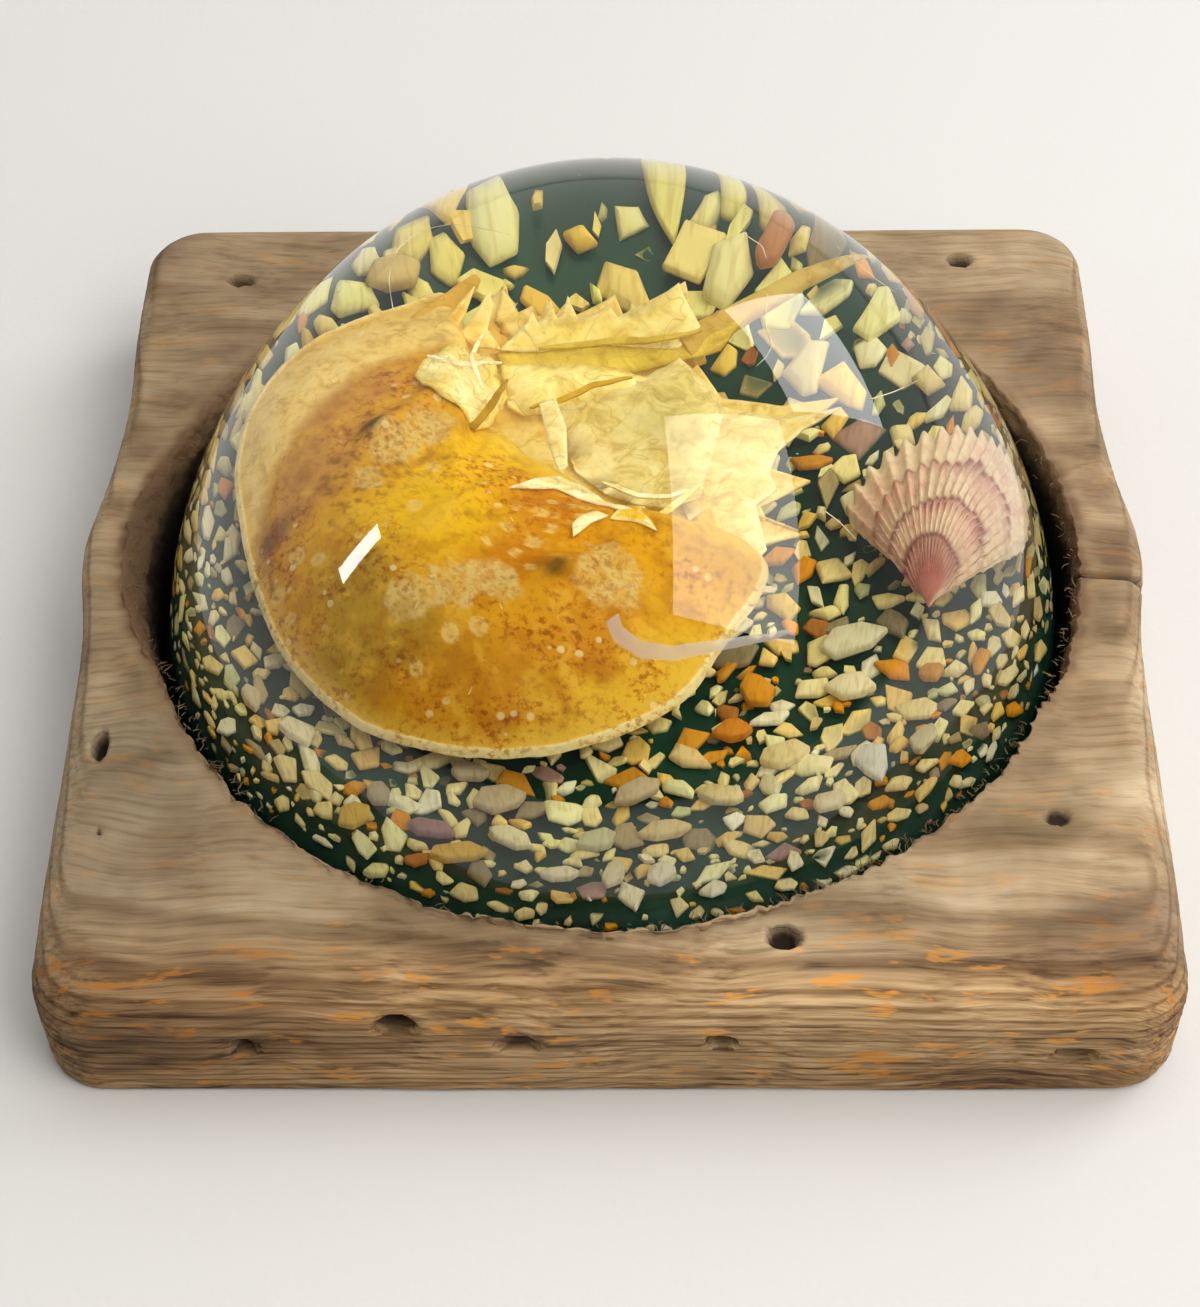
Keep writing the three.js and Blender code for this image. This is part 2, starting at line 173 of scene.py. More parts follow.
def lattice(cell, seed):
    """A fixed random number from -1 to 1 for each whole-numbered place."""
    h = cell[..., 0] * 374761393 + cell[..., 1] * 668265263 + cell[..., 2] * 2147483647 + seed * 974634777
    h = ((h ^ (h >> 13)) * 1274126177) & 0x7FFFFFFF
    h = (h ^ (h >> 16)) & 0xFFFFFF
    return h / 8388607.5 - 1


def rough(points, size, seed=0, octaves=3):
    """Smooth noise from about -1 to 1 at points in millimetres, with lumps of about size mm."""
    place = np.asarray(points, dtype=float) / np.asarray(size, dtype=float)
    total = np.zeros(len(place))
    weight = 1.0
    for octave in range(octaves):
        base = np.floor(place).astype(np.int64)
        part = place - base
        ease = part * part * (3 - 2 * part)
        value = np.zeros(len(place))
        for corner in range(8):
            step = np.array([corner & 1, (corner >> 1) & 1, (corner >> 2) & 1])
            share = np.prod(np.where(step, ease, 1 - ease), axis=1)
            value += share * lattice(base + step, int(seed) + 17 * octave)
        total += weight * value
        weight *= 0.52
        place = place * 2.03 + 5.7
    return total


def read_round(table, degrees):
    """A table of (angle, value) round a full turn, read smoothly at each angle."""
    angles = np.array([row[0] for row in table], dtype=float)
    values = np.array([row[1] for row in table], dtype=float)
    angles = np.concatenate([angles - 360, angles, angles + 360])
    values = np.tile(values, 3)
    return np.interp(np.mod(degrees, 360), angles, values)


def spun(name, profile, steps):
    """Spins a profile of (radius, height) about the dome's axis into a closed solid."""
    deselect()
    mesh = bpy.data.meshes.new(name)
    edges = [(i, i + 1) for i in range(len(profile) - 1)]
    mesh.from_pydata([(r * MM, DOME_Y * MM, z * MM) for r, z in profile], edges, [])
    obj = bpy.data.objects.new(name, mesh)
    bpy.context.scene.collection.objects.link(obj)
    choose(obj)
    bpy.ops.object.mode_set(mode="EDIT")
    bpy.ops.mesh.select_all(action="SELECT")
    bpy.ops.mesh.spin(steps=steps, angle=2 * math.pi, center=(0, DOME_Y * MM, 0), axis=(0, 0, 1))
    bpy.ops.mesh.select_all(action="SELECT")
    bpy.ops.mesh.remove_doubles(threshold=0.00001)
    bpy.ops.mesh.select_all(action="SELECT")
    bpy.ops.mesh.normals_make_consistent(inside=False)
    bpy.ops.object.mode_set(mode="OBJECT")
    obj.data.polygons.foreach_set("use_smooth", [True] * len(obj.data.polygons))
    return obj


# Camera, floor and light


camera_data = bpy.data.cameras.new("camera")
camera_data.lens = 72.14
camera_data.sensor_width = 36
camera = bpy.data.objects.new("camera", camera_data)
bpy.context.scene.collection.objects.link(camera)
right = Vector((0.99989, 0.00768, -0.01253))
up = Vector((0.00229, 0.76078, 0.64901))
back = Vector((0.01452, -0.64897, 0.76068))
turn = Matrix((right, up, back)).transposed().to_4x4()
camera.matrix_world = Matrix.Translation(Vector((3.114, -200.636, 235.867)) * MM) @ turn
bpy.context.scene.camera = camera

bpy.context.scene.view_settings.view_transform = "Standard"

# A white room that is darker over the front, where the camera stands
world = bpy.data.worlds.new("studio")
world.use_nodes = True
tree = world.node_tree
direction = node(tree, "ShaderNodeTexCoord").outputs["Generated"]
axes = node(tree, "ShaderNodeSeparateXYZ", {"Vector": direction})
behind = node(tree, "ShaderNodeMapRange", {"Value": axes.outputs["Y"]},
              {"From Min": -0.6, "From Max": 0.3, "To Min": 0.06, "To Max": 0.62}).outputs[0]
tree.links.new(behind, tree.nodes["Background"].inputs["Strength"])
tree.nodes["Background"].inputs["Color"].default_value = (1.0, 0.995, 0.985, 1)
bpy.context.scene.world = world


def area_light(name, azimuth, elevation, distance, width, height, roll, radiance, colour=(1, 1, 1)):
    """A flat panel that looks at the dome from a direction. Its power gives it that brightness."""
    aim = Vector((0.014, -0.02, 0.05))
    a, e = math.radians(azimuth), math.radians(elevation)
    out = Vector((math.cos(e) * math.cos(a), math.cos(e) * math.sin(a), math.sin(e)))
    data = bpy.data.lights.new(name, "AREA")
    data.shape = "RECTANGLE"
    data.size = width
    data.size_y = height
    data.energy = radiance * math.pi * width * height
    data.color = colour
    obj = bpy.data.objects.new(name, data)
    bpy.context.scene.collection.objects.link(obj)
    look = (-out).to_track_quat("-Z", "Y").to_matrix().to_4x4() @ Matrix.Rotation(math.radians(roll), 4, "Z")
    obj.matrix_world = Matrix.Translation(aim + out * distance) @ look
    return obj


# The tall bright window to the right and front, the bluish one behind it, and a slit at the left
area_light("window_right", -36, 45, 0.8, 0.52, 0.72, -42, 4.2, (1.0, 0.97, 0.92))
area_light("window_back", 33, 31, 0.8, 0.42, 0.40, 12, 5.5, (0.98, 0.97, 1.0))
area_light("slit_left", -170, 16, 0.8, 0.045, 0.17, -6, 16.0)
# Wide soft boxes above and in front, kept out of the gloss so that the dome shows only the windows
overhead = area_light("soft_box_above", 20, 74, 1.1, 1.1, 1.1, 0, 2.0, (1.0, 0.99, 0.97))
overhead.visible_glossy = False
fill = area_light("soft_box_front", -70, 30, 1.2, 1.2, 0.9, 0, 0.6, (1.0, 0.98, 0.94))
fill.visible_glossy = False

# White cotton backcloth: diffuse and even, with a fine weave bump
cloth, tree = new_material("white_cotton_backcloth")
place = node(tree, "ShaderNodeTexCoord").outputs["Object"]
weave = node(tree, "ShaderNodeTexNoise", {"Vector": place}, {"Scale": 900.0, "Detail": 2.0})
bump = node(tree, "ShaderNodeBump", {"Height": weave.outputs["Fac"]}, {"Strength": 0.15, "Distance": 0.0003})
shader = node(tree, "ShaderNodeBsdfPrincipled", {"Normal": bump.outputs["Normal"]},
              {"Base Color": linear("#C6C4C1"), "Roughness": 0.9, "Specular IOR Level": 0.2})
node(tree, "ShaderNodeOutputMaterial", {"Surface": shader.outputs[0]})
deselect()
bpy.ops.mesh.primitive_plane_add(size=3, location=(0, 0, 0))
floor = bpy.context.object
floor.name = "backcloth"
floor.data.materials.append(cloth)


# Wood block


BLOCK_HALF = 59.0
BLOCK_CORNER = 7.0
WALL_TOP = 11.4
RIM_ROUND = 0.9
FOOT_ROUND = 0.9
YEAR_RING = 1.05

# Radius of the recess's worn rim from the dome's axis, by the angle from +X
RIM_REACH = [
    (0, 52.6), (15, 52.6), (30, 52.8), (60, 52.4), (90, 51.6), (120, 52.6), (144, 53.8), (157, 52.6),
    (172, 55.2), (187, 54.4), (201, 51.8), (235, 51.8), (270, 51.2), (300, 51.4), (330, 51.7), (345, 52.2),
]

# Nail holes in the top: x, y, half length, half width, depth
TOP_HOLES = [
    (-46.7, 48.4, 1.4, 0.9, 2.2), (43.7, 51.9, 1.4, 1.1, 1.6), (-54.6, -26.1, 0.8, 1.9, 2.0),
    (17.8, -50.3, 1.7, 1.3, 1.8), (46.9, -35.9, 1.4, 1.0, 0.7), (-53.3, -37.6, 0.4, 0.4, 0.8),
]

# Nail holes in the front face: x, z, half length, half height, depth
FRONT_HOLES = [
    (-36.9, 8.2, 1.3, 1.15, 2.0), (-21.4, 11.6, 2.0, 1.0, 2.2), (-9.1, 8.7, 2.2, 1.15, 2.0),
    (11.4, 9.1, 1.5, 0.95, 1.6), (47.3, 6.6, 2.0, 1.15, 2.2),
]


def side_swell(y):
    """How far the block's sides stand out beside the recess."""
    return 1.7 * np.exp(-(((y - 3) / 9) ** 2)) - 0.6 * np.exp(-(((y - 27) / 9) ** 2))


def inside_block(x, y):
    """Signed distance to the block's outline from above, below zero inside it."""
    half_x = BLOCK_HALF + side_swell(y)
    qx = np.abs(x) - (half_x - BLOCK_CORNER)
    qy = np.abs(y) - (BLOCK_HALF - BLOCK_CORNER)
    outside = np.hypot(np.maximum(qx, 0), np.maximum(qy, 0))
    return outside + np.minimum(np.maximum(qx, qy), 0) - BLOCK_CORNER


def reach_to(theta, inset):
    """Distance from the dome's axis to the line that lies inset mm inside the outline."""
    low = np.full_like(theta, 40.0)
    high = np.full_like(theta, 100.0)
    for _ in range(24):
        middle = (low + high) / 2
        outside = inside_block(middle * np.cos(theta), DOME_Y + middle * np.sin(theta)) > -inset
        high = np.where(outside, middle, high)
        low = np.where(outside, low, middle)
    return (low + high) / 2


def wood_block():
    spokes = 760
    theta = np.linspace(0, 2 * np.pi, spokes, endpoint=False)
    degrees = np.degrees(theta)
    rim = read_round(RIM_REACH, degrees)
    ring = np.stack([np.cos(theta) * 9, np.sin(theta) * 9, np.zeros(spokes)], axis=1)
    rim = rim + 0.35 * rough(ring, 1.0, 3) + 0.3 * rough(ring * 6, 1.0, 8)
    # Splinters hang over the recess where the cutter tore the grain, at the right and in front
    torn = np.exp(-(((degrees - 330) / 14) ** 2)) + 0.7 * np.exp(-(((degrees - 292) / 9) ** 2))
    rim = rim - 0.9 * torn * np.abs(rough(ring * 14, 1.0, 5))
    # The front edge is worn rounder than the others
    wear = 2.2 + 2.8 * smoothstep(0.2, -1.0, np.sin(theta))
    rings = []
    for share in np.linspace(0.02, 1, 5):
        rings.append((RECESS_RADIUS * share + 0 * theta, RECESS_FLOOR + 0 * theta, "hidden"))
    for height in np.linspace(RECESS_FLOOR, WALL_TOP, 6)[1:]:
        rings.append((RECESS_RADIUS + 0 * theta, height + 0 * theta, "wall"))
    # Above that the wall slopes out to the worn rim
    for share in np.linspace(0, 1, 15)[1:]:
        edge = RECESS_RADIUS + (rim + RIM_ROUND - RECESS_RADIUS) * share ** 1.3
        rise = (BOARD_TOP - WALL_TOP) * math.sin(share * math.pi / 2) ** 0.9
        rings.append((edge, WALL_TOP + rise + 0 * theta, "wall"))
    shoulder = reach_to(theta, wear)
    for share in np.linspace(0, 1, 37)[1:]:
        rings.append((rim + RIM_ROUND + (shoulder - rim - RIM_ROUND) * share, BOARD_TOP + 0 * theta, "top"))
    for angle in np.radians(np.linspace(0, 90, 13)[1:]):
        rings.append((reach_to(theta, wear * (1 - math.sin(angle))),
                      BOARD_TOP - wear * (1 - math.cos(angle)), "side"))
    low = FOOT_ROUND
    for share in np.linspace(0, 1, 20)[1:]:
        height = BOARD_TOP - wear - (BOARD_TOP - wear - low) * share
        rings.append((reach_to(theta, 0 * theta), height, "side"))
    for angle in np.radians(np.linspace(0, 90, 7)[1:]):
        rings.append((reach_to(theta, low * (1 - math.cos(angle)) + 0 * theta),
                      low - low * math.sin(angle) + 0 * theta, "side"))
    for share in np.linspace(1, 0.02, 6)[1:]:
        rings.append((reach_to(theta, low + 0 * theta) * share, 0 * theta, "hidden"))
    points = []
    kinds = []
    for reach, height, kind in rings:
        points.append(np.stack([reach * np.cos(theta), DOME_Y + reach * np.sin(theta), height], axis=1))
        kinds += [kind] * spokes
    points = np.concatenate(points)
    kinds = np.array(kinds)
    faces = []
    for j in range(len(rings) - 1):
        for i in range(spokes):
            k = (i + 1) % spokes
            faces.append((j * spokes + i, (j + 1) * spokes + i, (j + 1) * spokes + k, j * spokes + k))
    faces.append(tuple(range(spokes)))
    last = (len(rings) - 1) * spokes
    faces.append(tuple(last + spokes - 1 - i for i in range(spokes)))
    obj = mesh_piece("wood_block", points, faces)
    # The top falls away to the front, and dips a little more at each front corner
    x, y, z = points.T
    up_share = np.clip(z / BOARD_TOP, 0, 1)
    fall = 1.6 * smoothstep(-40, -59, y) + 0.5 * smoothstep(45, 60, np.abs(x)) * smoothstep(-30, -60, y)
    fall = fall + 0.35 * (0.5 + 0.5 * rough(points * [1, 1, 0], [34, 11, 10], 2))
    is_open = (kinds == "top") | (kinds == "side")
    points[:, 2] -= fall * up_share * is_open
    place_points(obj, points)
    # Yearly rings lie almost level in a flat sawn board, so worn edges show them as contour lines
    warp = rough(points, [90, 26, 14], 7, 2)
    years = points[:, 2] + 0.035 * y + 1.1 * warp + 0.012 * np.abs(x)
    phase = years / YEAR_RING
    late = np.abs((phase % 1) - 0.5) * 2
    fibre = rough(points, [14, 0.55, 0.55], 1, 3)
    front = smoothstep(-47, -56, y)
    relief = (0.09 + 0.15 * front) * (smoothstep(0.15, 0.85, late) - 0.7) + (0.03 + 0.10 * front) * fibre
    relief = relief * is_open + 0.3 * rough(points, [1.6, 1.6, 1.2], 4) * (kinds == "wall") * (z > 11.5)
    # Painted shade in the nail holes and the crack, and the dark of the water stain, in one mask
    hole_shade_and_stain = np.zeros(len(points))
    for hx, hy, long, wide, depth in TOP_HOLES:
        away = np.hypot((x - hx) / long, (y - hy) / wide)
        amount = smoothstep(1.15, 0.75, away) * (z > 13) * is_open
        hole_shade_and_stain = np.maximum(hole_shade_and_stain, amount)
        relief = relief - depth * amount
    for hx, hz, long, high, depth in FRONT_HOLES:
        away = np.hypot((x - hx) / long, (z - hz) / high)
        amount = smoothstep(1.3, 0.7, away) * (y < -50) * is_open
        hole_shade_and_stain = np.maximum(hole_shade_and_stain, amount)
        relief = relief - depth * amount
    crack = smoothstep(0.45, 0.15, np.abs(y + 2.0 + 0.05 * (x - 56))) * (x > 51.5) * (z > 8)
    relief = relief - 0.9 * crack
    hole_shade_and_stain = np.maximum(hole_shade_and_stain, crack)
    # An old water stain low at the left end of the front
    stain = smoothstep(-34, -50, x) * np.exp(-((z - 7) / 3.0) ** 2) * (y < -50)
    stain = stain * smoothstep(-0.5, 0.6, rough(points, [6, 2, 1.2], 14))
    hole_shade_and_stain = np.maximum(hole_shade_and_stain, 0.75 * stain * is_open)
    place_points(obj, points + normals_of(obj) * relief[:, None])
    # Painted shade: dark down in the recess, near black at its foot, fading out over the worn rim, and a band
    # of it over the rim at the left and right
    beyond = np.hypot(x, y - DOME_Y) - np.tile(rim, len(rings))
    wall = 1 - smoothstep(0.1, 1.0, (z - 11.8) / 4.7 + 0.10 * rough(points, 2.2, 9))
    bearing = np.degrees(np.arctan2(y - DOME_Y, x))
    rim_band_sides = 0.2 + 0.8 * np.exp(-((np.abs(bearing) - 180) / 42) ** 2) + 0.7 * np.exp(-((bearing + 2) / 40) ** 2)
    rim_band = smoothstep(3.4, 0.4, beyond + 0.8 * rough(points, 3.0, 6)) * np.minimum(rim_band_sides, 1)
    wall = np.maximum(wall * (beyond < 3), 0.5 * rim_band)
    wall = wall * (beyond < 5) * (z > 2.9)
    add_value(obj, "years", phase)
    add_value(obj, "hole_shade_and_stain", hole_shade_and_stain)
    add_value(obj, "front", front)
    add_value(obj, "recess_shade", wall)
    # Painted light and shade: paler at the right and the front right, darker at the front left
    side_light_shade = 0.96 + 0.36 * np.exp(-((x - 54) / 13) ** 2 - ((y - 4) / 30) ** 2)
    side_light_shade = side_light_shade + 0.2 * np.exp(-((x - 50) / 20) ** 2 - ((y + 45) / 20) ** 2)
    side_light_shade = side_light_shade - 0.3 * np.exp(-((x + 50) / 15) ** 2 - ((y + 32) / 22) ** 2)
    add_value(obj, "side_light_shade", side_light_shade + 0.08 * rough(points, 9.0, 15))
    return obj


def weathered_wood():
    """Softwood left out for years: grey fibres stand proud, amber shows where it is rubbed."""
    material, tree = new_material("weathered_softwood_board")
    place = node(tree, "ShaderNodeTexCoord").outputs["Object"]
    years = node(tree, "ShaderNodeAttribute", attribute_name="years").outputs["Fac"]
    hole_shade_and_stain = node(tree, "ShaderNodeAttribute", attribute_name="hole_shade_and_stain").outputs["Fac"]
    recess_shade = node(tree, "ShaderNodeAttribute", attribute_name="recess_shade").outputs["Fac"]
    # Fibres run along X: 0.3 mm wide and some 20 mm long
    wobble = node(tree, "ShaderNodeTexNoise", {"Vector": place},
                  {"Scale": 55.0, "Detail": 1.0}).outputs["Color"]
    bent = node(tree, "ShaderNodeMix", {4: place, 5: wobble}, {0: 0.006}, data_type="VECTOR").outputs[1]
    along = node(tree, "ShaderNodeMapping", {"Vector": bent}, {"Scale": (60, 1500, 1500)})
    fibre = node(tree, "ShaderNodeTexNoise", {"Vector": along.outputs[0]},
                 {"Scale": 1.0, "Detail": 2.5, "Roughness": 0.62}).outputs["Fac"]
    wide = node(tree, "ShaderNodeMapping", {"Vector": bent}, {"Scale": (30, 210, 210)})
    streak = node(tree, "ShaderNodeTexNoise", {"Vector": wide.outputs[0]},
                  {"Scale": 1.0, "Detail": 2.5, "Roughness": 0.6}).outputs["Fac"]
    front = node(tree, "ShaderNodeAttribute", attribute_name="front").outputs["Fac"]
    # The top is smooth and drab; the front edge is split and streaky
    mottle = node(tree, "ShaderNodeTexNoise", {"Vector": place},
                  {"Scale": 70.0, "Detail": 3.0, "Roughness": 0.65}).outputs["Fac"]
    smooth_colour = ramp(tree, mottle, [(0.3, "#8C7B60"), (0.5, "#A79579"), (0.7, "#BDAB8E")])
    fibre_soft = ramp(tree, fibre, [(0.32, "#B0A08E"), (0.5, "#F0EAE2"), (0.65, "#FFFFFF")])
    smooth_colour = node(tree, "ShaderNodeMix", {6: smooth_colour, 7: fibre_soft}, {0: 0.55},
                         data_type="RGBA", blend_type="MULTIPLY").outputs[2]
    year = node(tree, "ShaderNodeMath", {0: years}, operation="FRACT").outputs[0]
    year_shade = ramp(tree, year, [(0.0, "#B8A48C"), (0.12, "#FFFFFF"), (0.7, "#F4EEE4"), (0.88, "#A08A70"),
                                   (1.0, "#B8A48C")])
    smooth_colour = node(tree, "ShaderNodeMix", {6: smooth_colour, 7: year_shade}, {0: 0.5},
                         data_type="RGBA", blend_type="MULTIPLY").outputs[2]
    fibre_colour = ramp(tree, fibre, [(0.34, "#2C1F15"), (0.41, "#84694A"), (0.52, "#B0936C"),
                                      (0.68, "#D0B48C")])
    streak_colour = ramp(tree, streak, [(0.32, "#553E2A"), (0.43, "#967652"), (0.6, "#B4946A"),
                                        (0.75, "#CCAC80")])
    split = node(tree, "ShaderNodeMix", {6: fibre_colour, 7: streak_colour}, {0: 0.45},
                 data_type="RGBA").outputs[2]
    split = node(tree, "ShaderNodeMix", {6: split, 7: year_shade}, {0: 0.7}, data_type="RGBA",
                 blend_type="MULTIPLY").outputs[2]
    wood = node(tree, "ShaderNodeMix", {0: front, 6: smooth_colour, 7: split}, data_type="RGBA").outputs[2]
    # Ochre patches where the grey skin is rubbed away, long with the grain
    patch_map = node(tree, "ShaderNodeMapping", {"Vector": bent},
                     {"Location": (3.1, 0.4, 0.2), "Scale": (120, 480, 560)})
    patch = node(tree, "ShaderNodeTexNoise", {"Vector": patch_map.outputs[0]},
                 {"Scale": 1.0, "Detail": 3.0, "Roughness": 0.7}).outputs["Fac"]
    rubbed = node(tree, "ShaderNodeMapRange", {"Value": patch},
                  {"From Min": 0.58, "From Max": 0.64, "To Max": 0.85}).outputs[0]
    share = node(tree, "ShaderNodeMapRange", {"Value": front}, {"To Min": 0.25, "To Max": 1.0}).outputs[0]
    rubbed = node(tree, "ShaderNodeMath", {0: rubbed, 1: share}, operation="MULTIPLY").outputs[0]
    wood = node(tree, "ShaderNodeMix", {0: rubbed, 6: wood}, {7: linear("#CE8E3E")},
                data_type="RGBA").outputs[2]
    # Broad dark and pale weather stains
    stain_map = node(tree, "ShaderNodeMapping", {"Vector": place}, {"Scale": (26, 60, 90)})
    stain = node(tree, "ShaderNodeTexNoise", {"Vector": stain_map.outputs[0]},
                 {"Scale": 1.0, "Detail": 3.0}).outputs["Fac"]
    stain_colour = ramp(tree, stain, [(0.34, "#8C7668"), (0.46, "#E0D6C8"), (0.6, "#FFFFFF")])
    wood = node(tree, "ShaderNodeMix", {6: wood, 7: stain_colour}, {0: 0.7}, data_type="RGBA",
                blend_type="MULTIPLY").outputs[2]
    # Painted light and shade: the colour is scaled paler on one side and darker on the other
    side_light_shade = node(tree, "ShaderNodeAttribute", attribute_name="side_light_shade").outputs["Fac"]
    wood = node(tree, "ShaderNodeVectorMath", {0: wood, "Scale": side_light_shade}, operation="SCALE").outputs[0]
    # Painted shade in the recess and over the rim band, near black at the foot of the wall
    recess_shade_colour = ramp(tree, recess_shade, [(0.0, "#9A8260"), (0.35, "#6E553C"), (0.7, "#3A2B1F"), (1.0, "#19120E")])
    recess_shade_share = node(tree, "ShaderNodeMapRange", {"Value": recess_shade}, {"From Max": 0.4}).outputs[0]
    wood = node(tree, "ShaderNodeMix", {0: recess_shade_share, 6: wood, 7: recess_shade_colour}, data_type="RGBA").outputs[2]
    # Painted shade in the nail holes and the crack, and the real water stain
    wood = node(tree, "ShaderNodeMix", {0: hole_shade_and_stain, 6: wood}, {7: linear("#241812")}, data_type="RGBA").outputs[2]
    height = node(tree, "ShaderNodeMath", {0: fibre, 1: streak}, operation="ADD").outputs[0]
    bump = node(tree, "ShaderNodeBump", {"Height": height}, {"Strength": 0.8, "Distance": 0.0004})
    shader = node(tree, "ShaderNodeBsdfPrincipled", {"Base Color": wood, "Normal": bump.outputs["Normal"]},
                  {"Roughness": 0.85, "Specular IOR Level": 0.3})
    node(tree, "ShaderNodeOutputMaterial", {"Surface": shader.outputs[0]})
    return material


wood = wood_block()
wood.data.materials.append(weathered_wood())
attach(wood, "root")
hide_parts("wood_base")


# Clear dome and its green backing


def dome_curve(count):
    """Radii and heights along the dome's skin: one smooth curve from its crown to its foot."""
    t = np.linspace(0, 1, count)
    r = 3 * t * (1 - t) ** 2 * DOME_TOP_PULL + 3 * t ** 2 * (1 - t) * DOME_WIDEST + t ** 3 * DOME_WIDEST
    z = (1 - t) ** 3 * DOME_CROWN + 3 * t * (1 - t) ** 2 * DOME_CROWN
    z = z + 3 * t ** 2 * (1 - t) * DOME_SIDE_PULL + t ** 3 * DOME_BASE
    return r, z


def dome_radius(height):
    """Radius of the dome's skin at a height."""
    r, z = dome_curve(2000)
    return np.interp(-np.asarray(height, dtype=float), -z, r)


def backing_height(reach):
    """The green resin is level, but falls away in the last millimetres before the wall."""
    return BACKING_TOP - 2.6 * smoothstep(46.0, 50.4, reach)


def clear_dome():
    bottom = 12.2
    skin = [(r, z) for r, z in zip(*dome_curve(140)) if z > bottom + 0.2]
    foot = float(dome_radius(bottom))
    profile = skin + [(foot, bottom), (foot - 0.6, bottom)]
    profile += [(share * foot, bottom) for share in (0.8, 0.5, 0.2, 0)]
    return spun("clear_resin_dome", profile, 256)


def green_backing():
    profile = [(0, DOME_FOOT), (30, DOME_FOOT), (float(dome_radius(DOME_FOOT)) - 0.8, DOME_FOOT)]
    for height in np.linspace(DOME_FOOT + 0.8, 12.35, 8):
        profile.append((float(dome_radius(height)) - 0.06, height))
    for reach in (50.3, 49.8, 49.2, 48.5, 47.8, 47.0, 46.0, 40, 25, 10):
        profile.append((reach, float(backing_height(reach))))
    profile.append((0, BACKING_TOP))
    return spun("green_resin_disc", profile, 180)


def cast_clear_resin():
    """Clear casting resin, polished: sharp reflections, and a faint warm depth through the thick middle."""
    material, tree = new_material("cast_clear_resin")
    shader = node(tree, "ShaderNodeBsdfPrincipled", None,
                  {"Base Color": (1, 1, 1, 1), "Roughness": 0.0, "IOR": RESIN_IOR,
                   "Transmission Weight": 1.0})
    depth = node(tree, "ShaderNodeVolumeAbsorption", None, {"Color": (0.985, 0.93, 0.30, 1), "Density": 7.0})
    node(tree, "ShaderNodeOutputMaterial", {"Surface": shader.outputs[0], "Volume": depth.outputs[0]})
    return material


def green_resin():
    """Green pigmented resin under the clear: dark, even and wet-looking."""
    material, tree = new_material("green_pigmented_resin")
    place = node(tree, "ShaderNodeTexCoord").outputs["Object"]
    cloud = node(tree, "ShaderNodeTexNoise", {"Vector": place}, {"Scale": 60.0, "Detail": 3.0}).outputs["Fac"]
    colour = ramp(tree, cloud, [(0.3, "#0B2E22"), (0.55, "#123C2E"), (0.75, "#1E4C3B")])
    shader = node(tree, "ShaderNodeBsdfPrincipled", {"Base Color": colour},
                  {"Roughness": 0.3, "IOR": RESIN_IOR, "Specular IOR Level": 0.15})
    node(tree, "ShaderNodeOutputMaterial", {"Surface": shader.outputs[0]})
    return material


dome = clear_dome()
dome.data.materials.append(cast_clear_resin())
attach(dome, "root")
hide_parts("resin_dome_lower", "resin_dome_upper")

backing = green_backing()
backing.data.materials.append(green_resin())
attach(backing, "root")
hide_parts("green_resin_backing")


# Crushed shell


CHIP_LIMIT = 50.3
CHIP_SPACING = 0.315

# Colours of the small fragments, and how common each is
SHELL_COLOURS = [
    ("#FBF0C8", 26), ("#F6E8B4", 20), ("#FAF6E6", 16), ("#EEDFAE", 12), ("#DCD6B4", 6), ("#EBCB74", 8),
    ("#EBA01C", 5), ("#D2942C", 7), ("#B07434", 3), ("#B8A888", 4), ("#988C78", 2), ("#B49498", 1),
    ("#DCC698", 5), ("#F6D692", 12), ("#CCD6B0", 3),
]


def pick_colour(draw):
    total = sum(weight for _, weight in SHELL_COLOURS)
    mark = draw.uniform(0, total)
    for colour, weight in SHELL_COLOURS:
        mark -= weight
        if mark <= 0:
            return colour
    return SHELL_COLOURS[0][0]


def chip_shape(draw, length, width, thick):
    """A broken flake: uneven outline, chipped edges and a slightly cupped face. It lies at the origin."""
    corners = draw.choice([4, 5, 5, 6])
    angles = [2 * math.pi * (i + draw.uniform(-0.3, 0.3)) / corners for i in range(corners)]
    reach = [draw.uniform(0.66, 1.16) for _ in angles]
    outline = np.array([[length / 2 * r * math.cos(a), width / 2 * r * math.sin(a)]
                        for a, r in zip(angles, reach)])
    cup = draw.uniform(-0.3, 0.5) * thick
    rings = [(0.9, 0.0), (1.0, 0.45 * thick), (0.93, 0.93 * thick), (0.6, thick + cup)]
    points = []
    for share, height in rings:
        for corner in outline:
            points.append([corner[0] * share, corner[1] * share, height])
    points.append([0, 0, thick + 1.2 * cup])
    n = corners
    faces = [tuple(range(n - 1, -1, -1))]
    for j in range(3):
        for i in range(n):
            k = (i + 1) % n
            faces.append((j * n + i, j * n + k, (j + 1) * n + k, (j + 1) * n + i))
    for i in range(n):
        faces.append((3 * n + i, 3 * n + (i + 1) % n, 4 * n))
    return np.array(points), faces


def set_down(points, x, y, z, turn, tilt, lean):
    matrix = Matrix.Rotation(lean, 3, "Z") @ Matrix.Rotation(tilt, 3, "X") @ Matrix.Rotation(turn, 3, "Z")
    return np.array([matrix @ Vector(p) for p in points]) + [x, y, z]


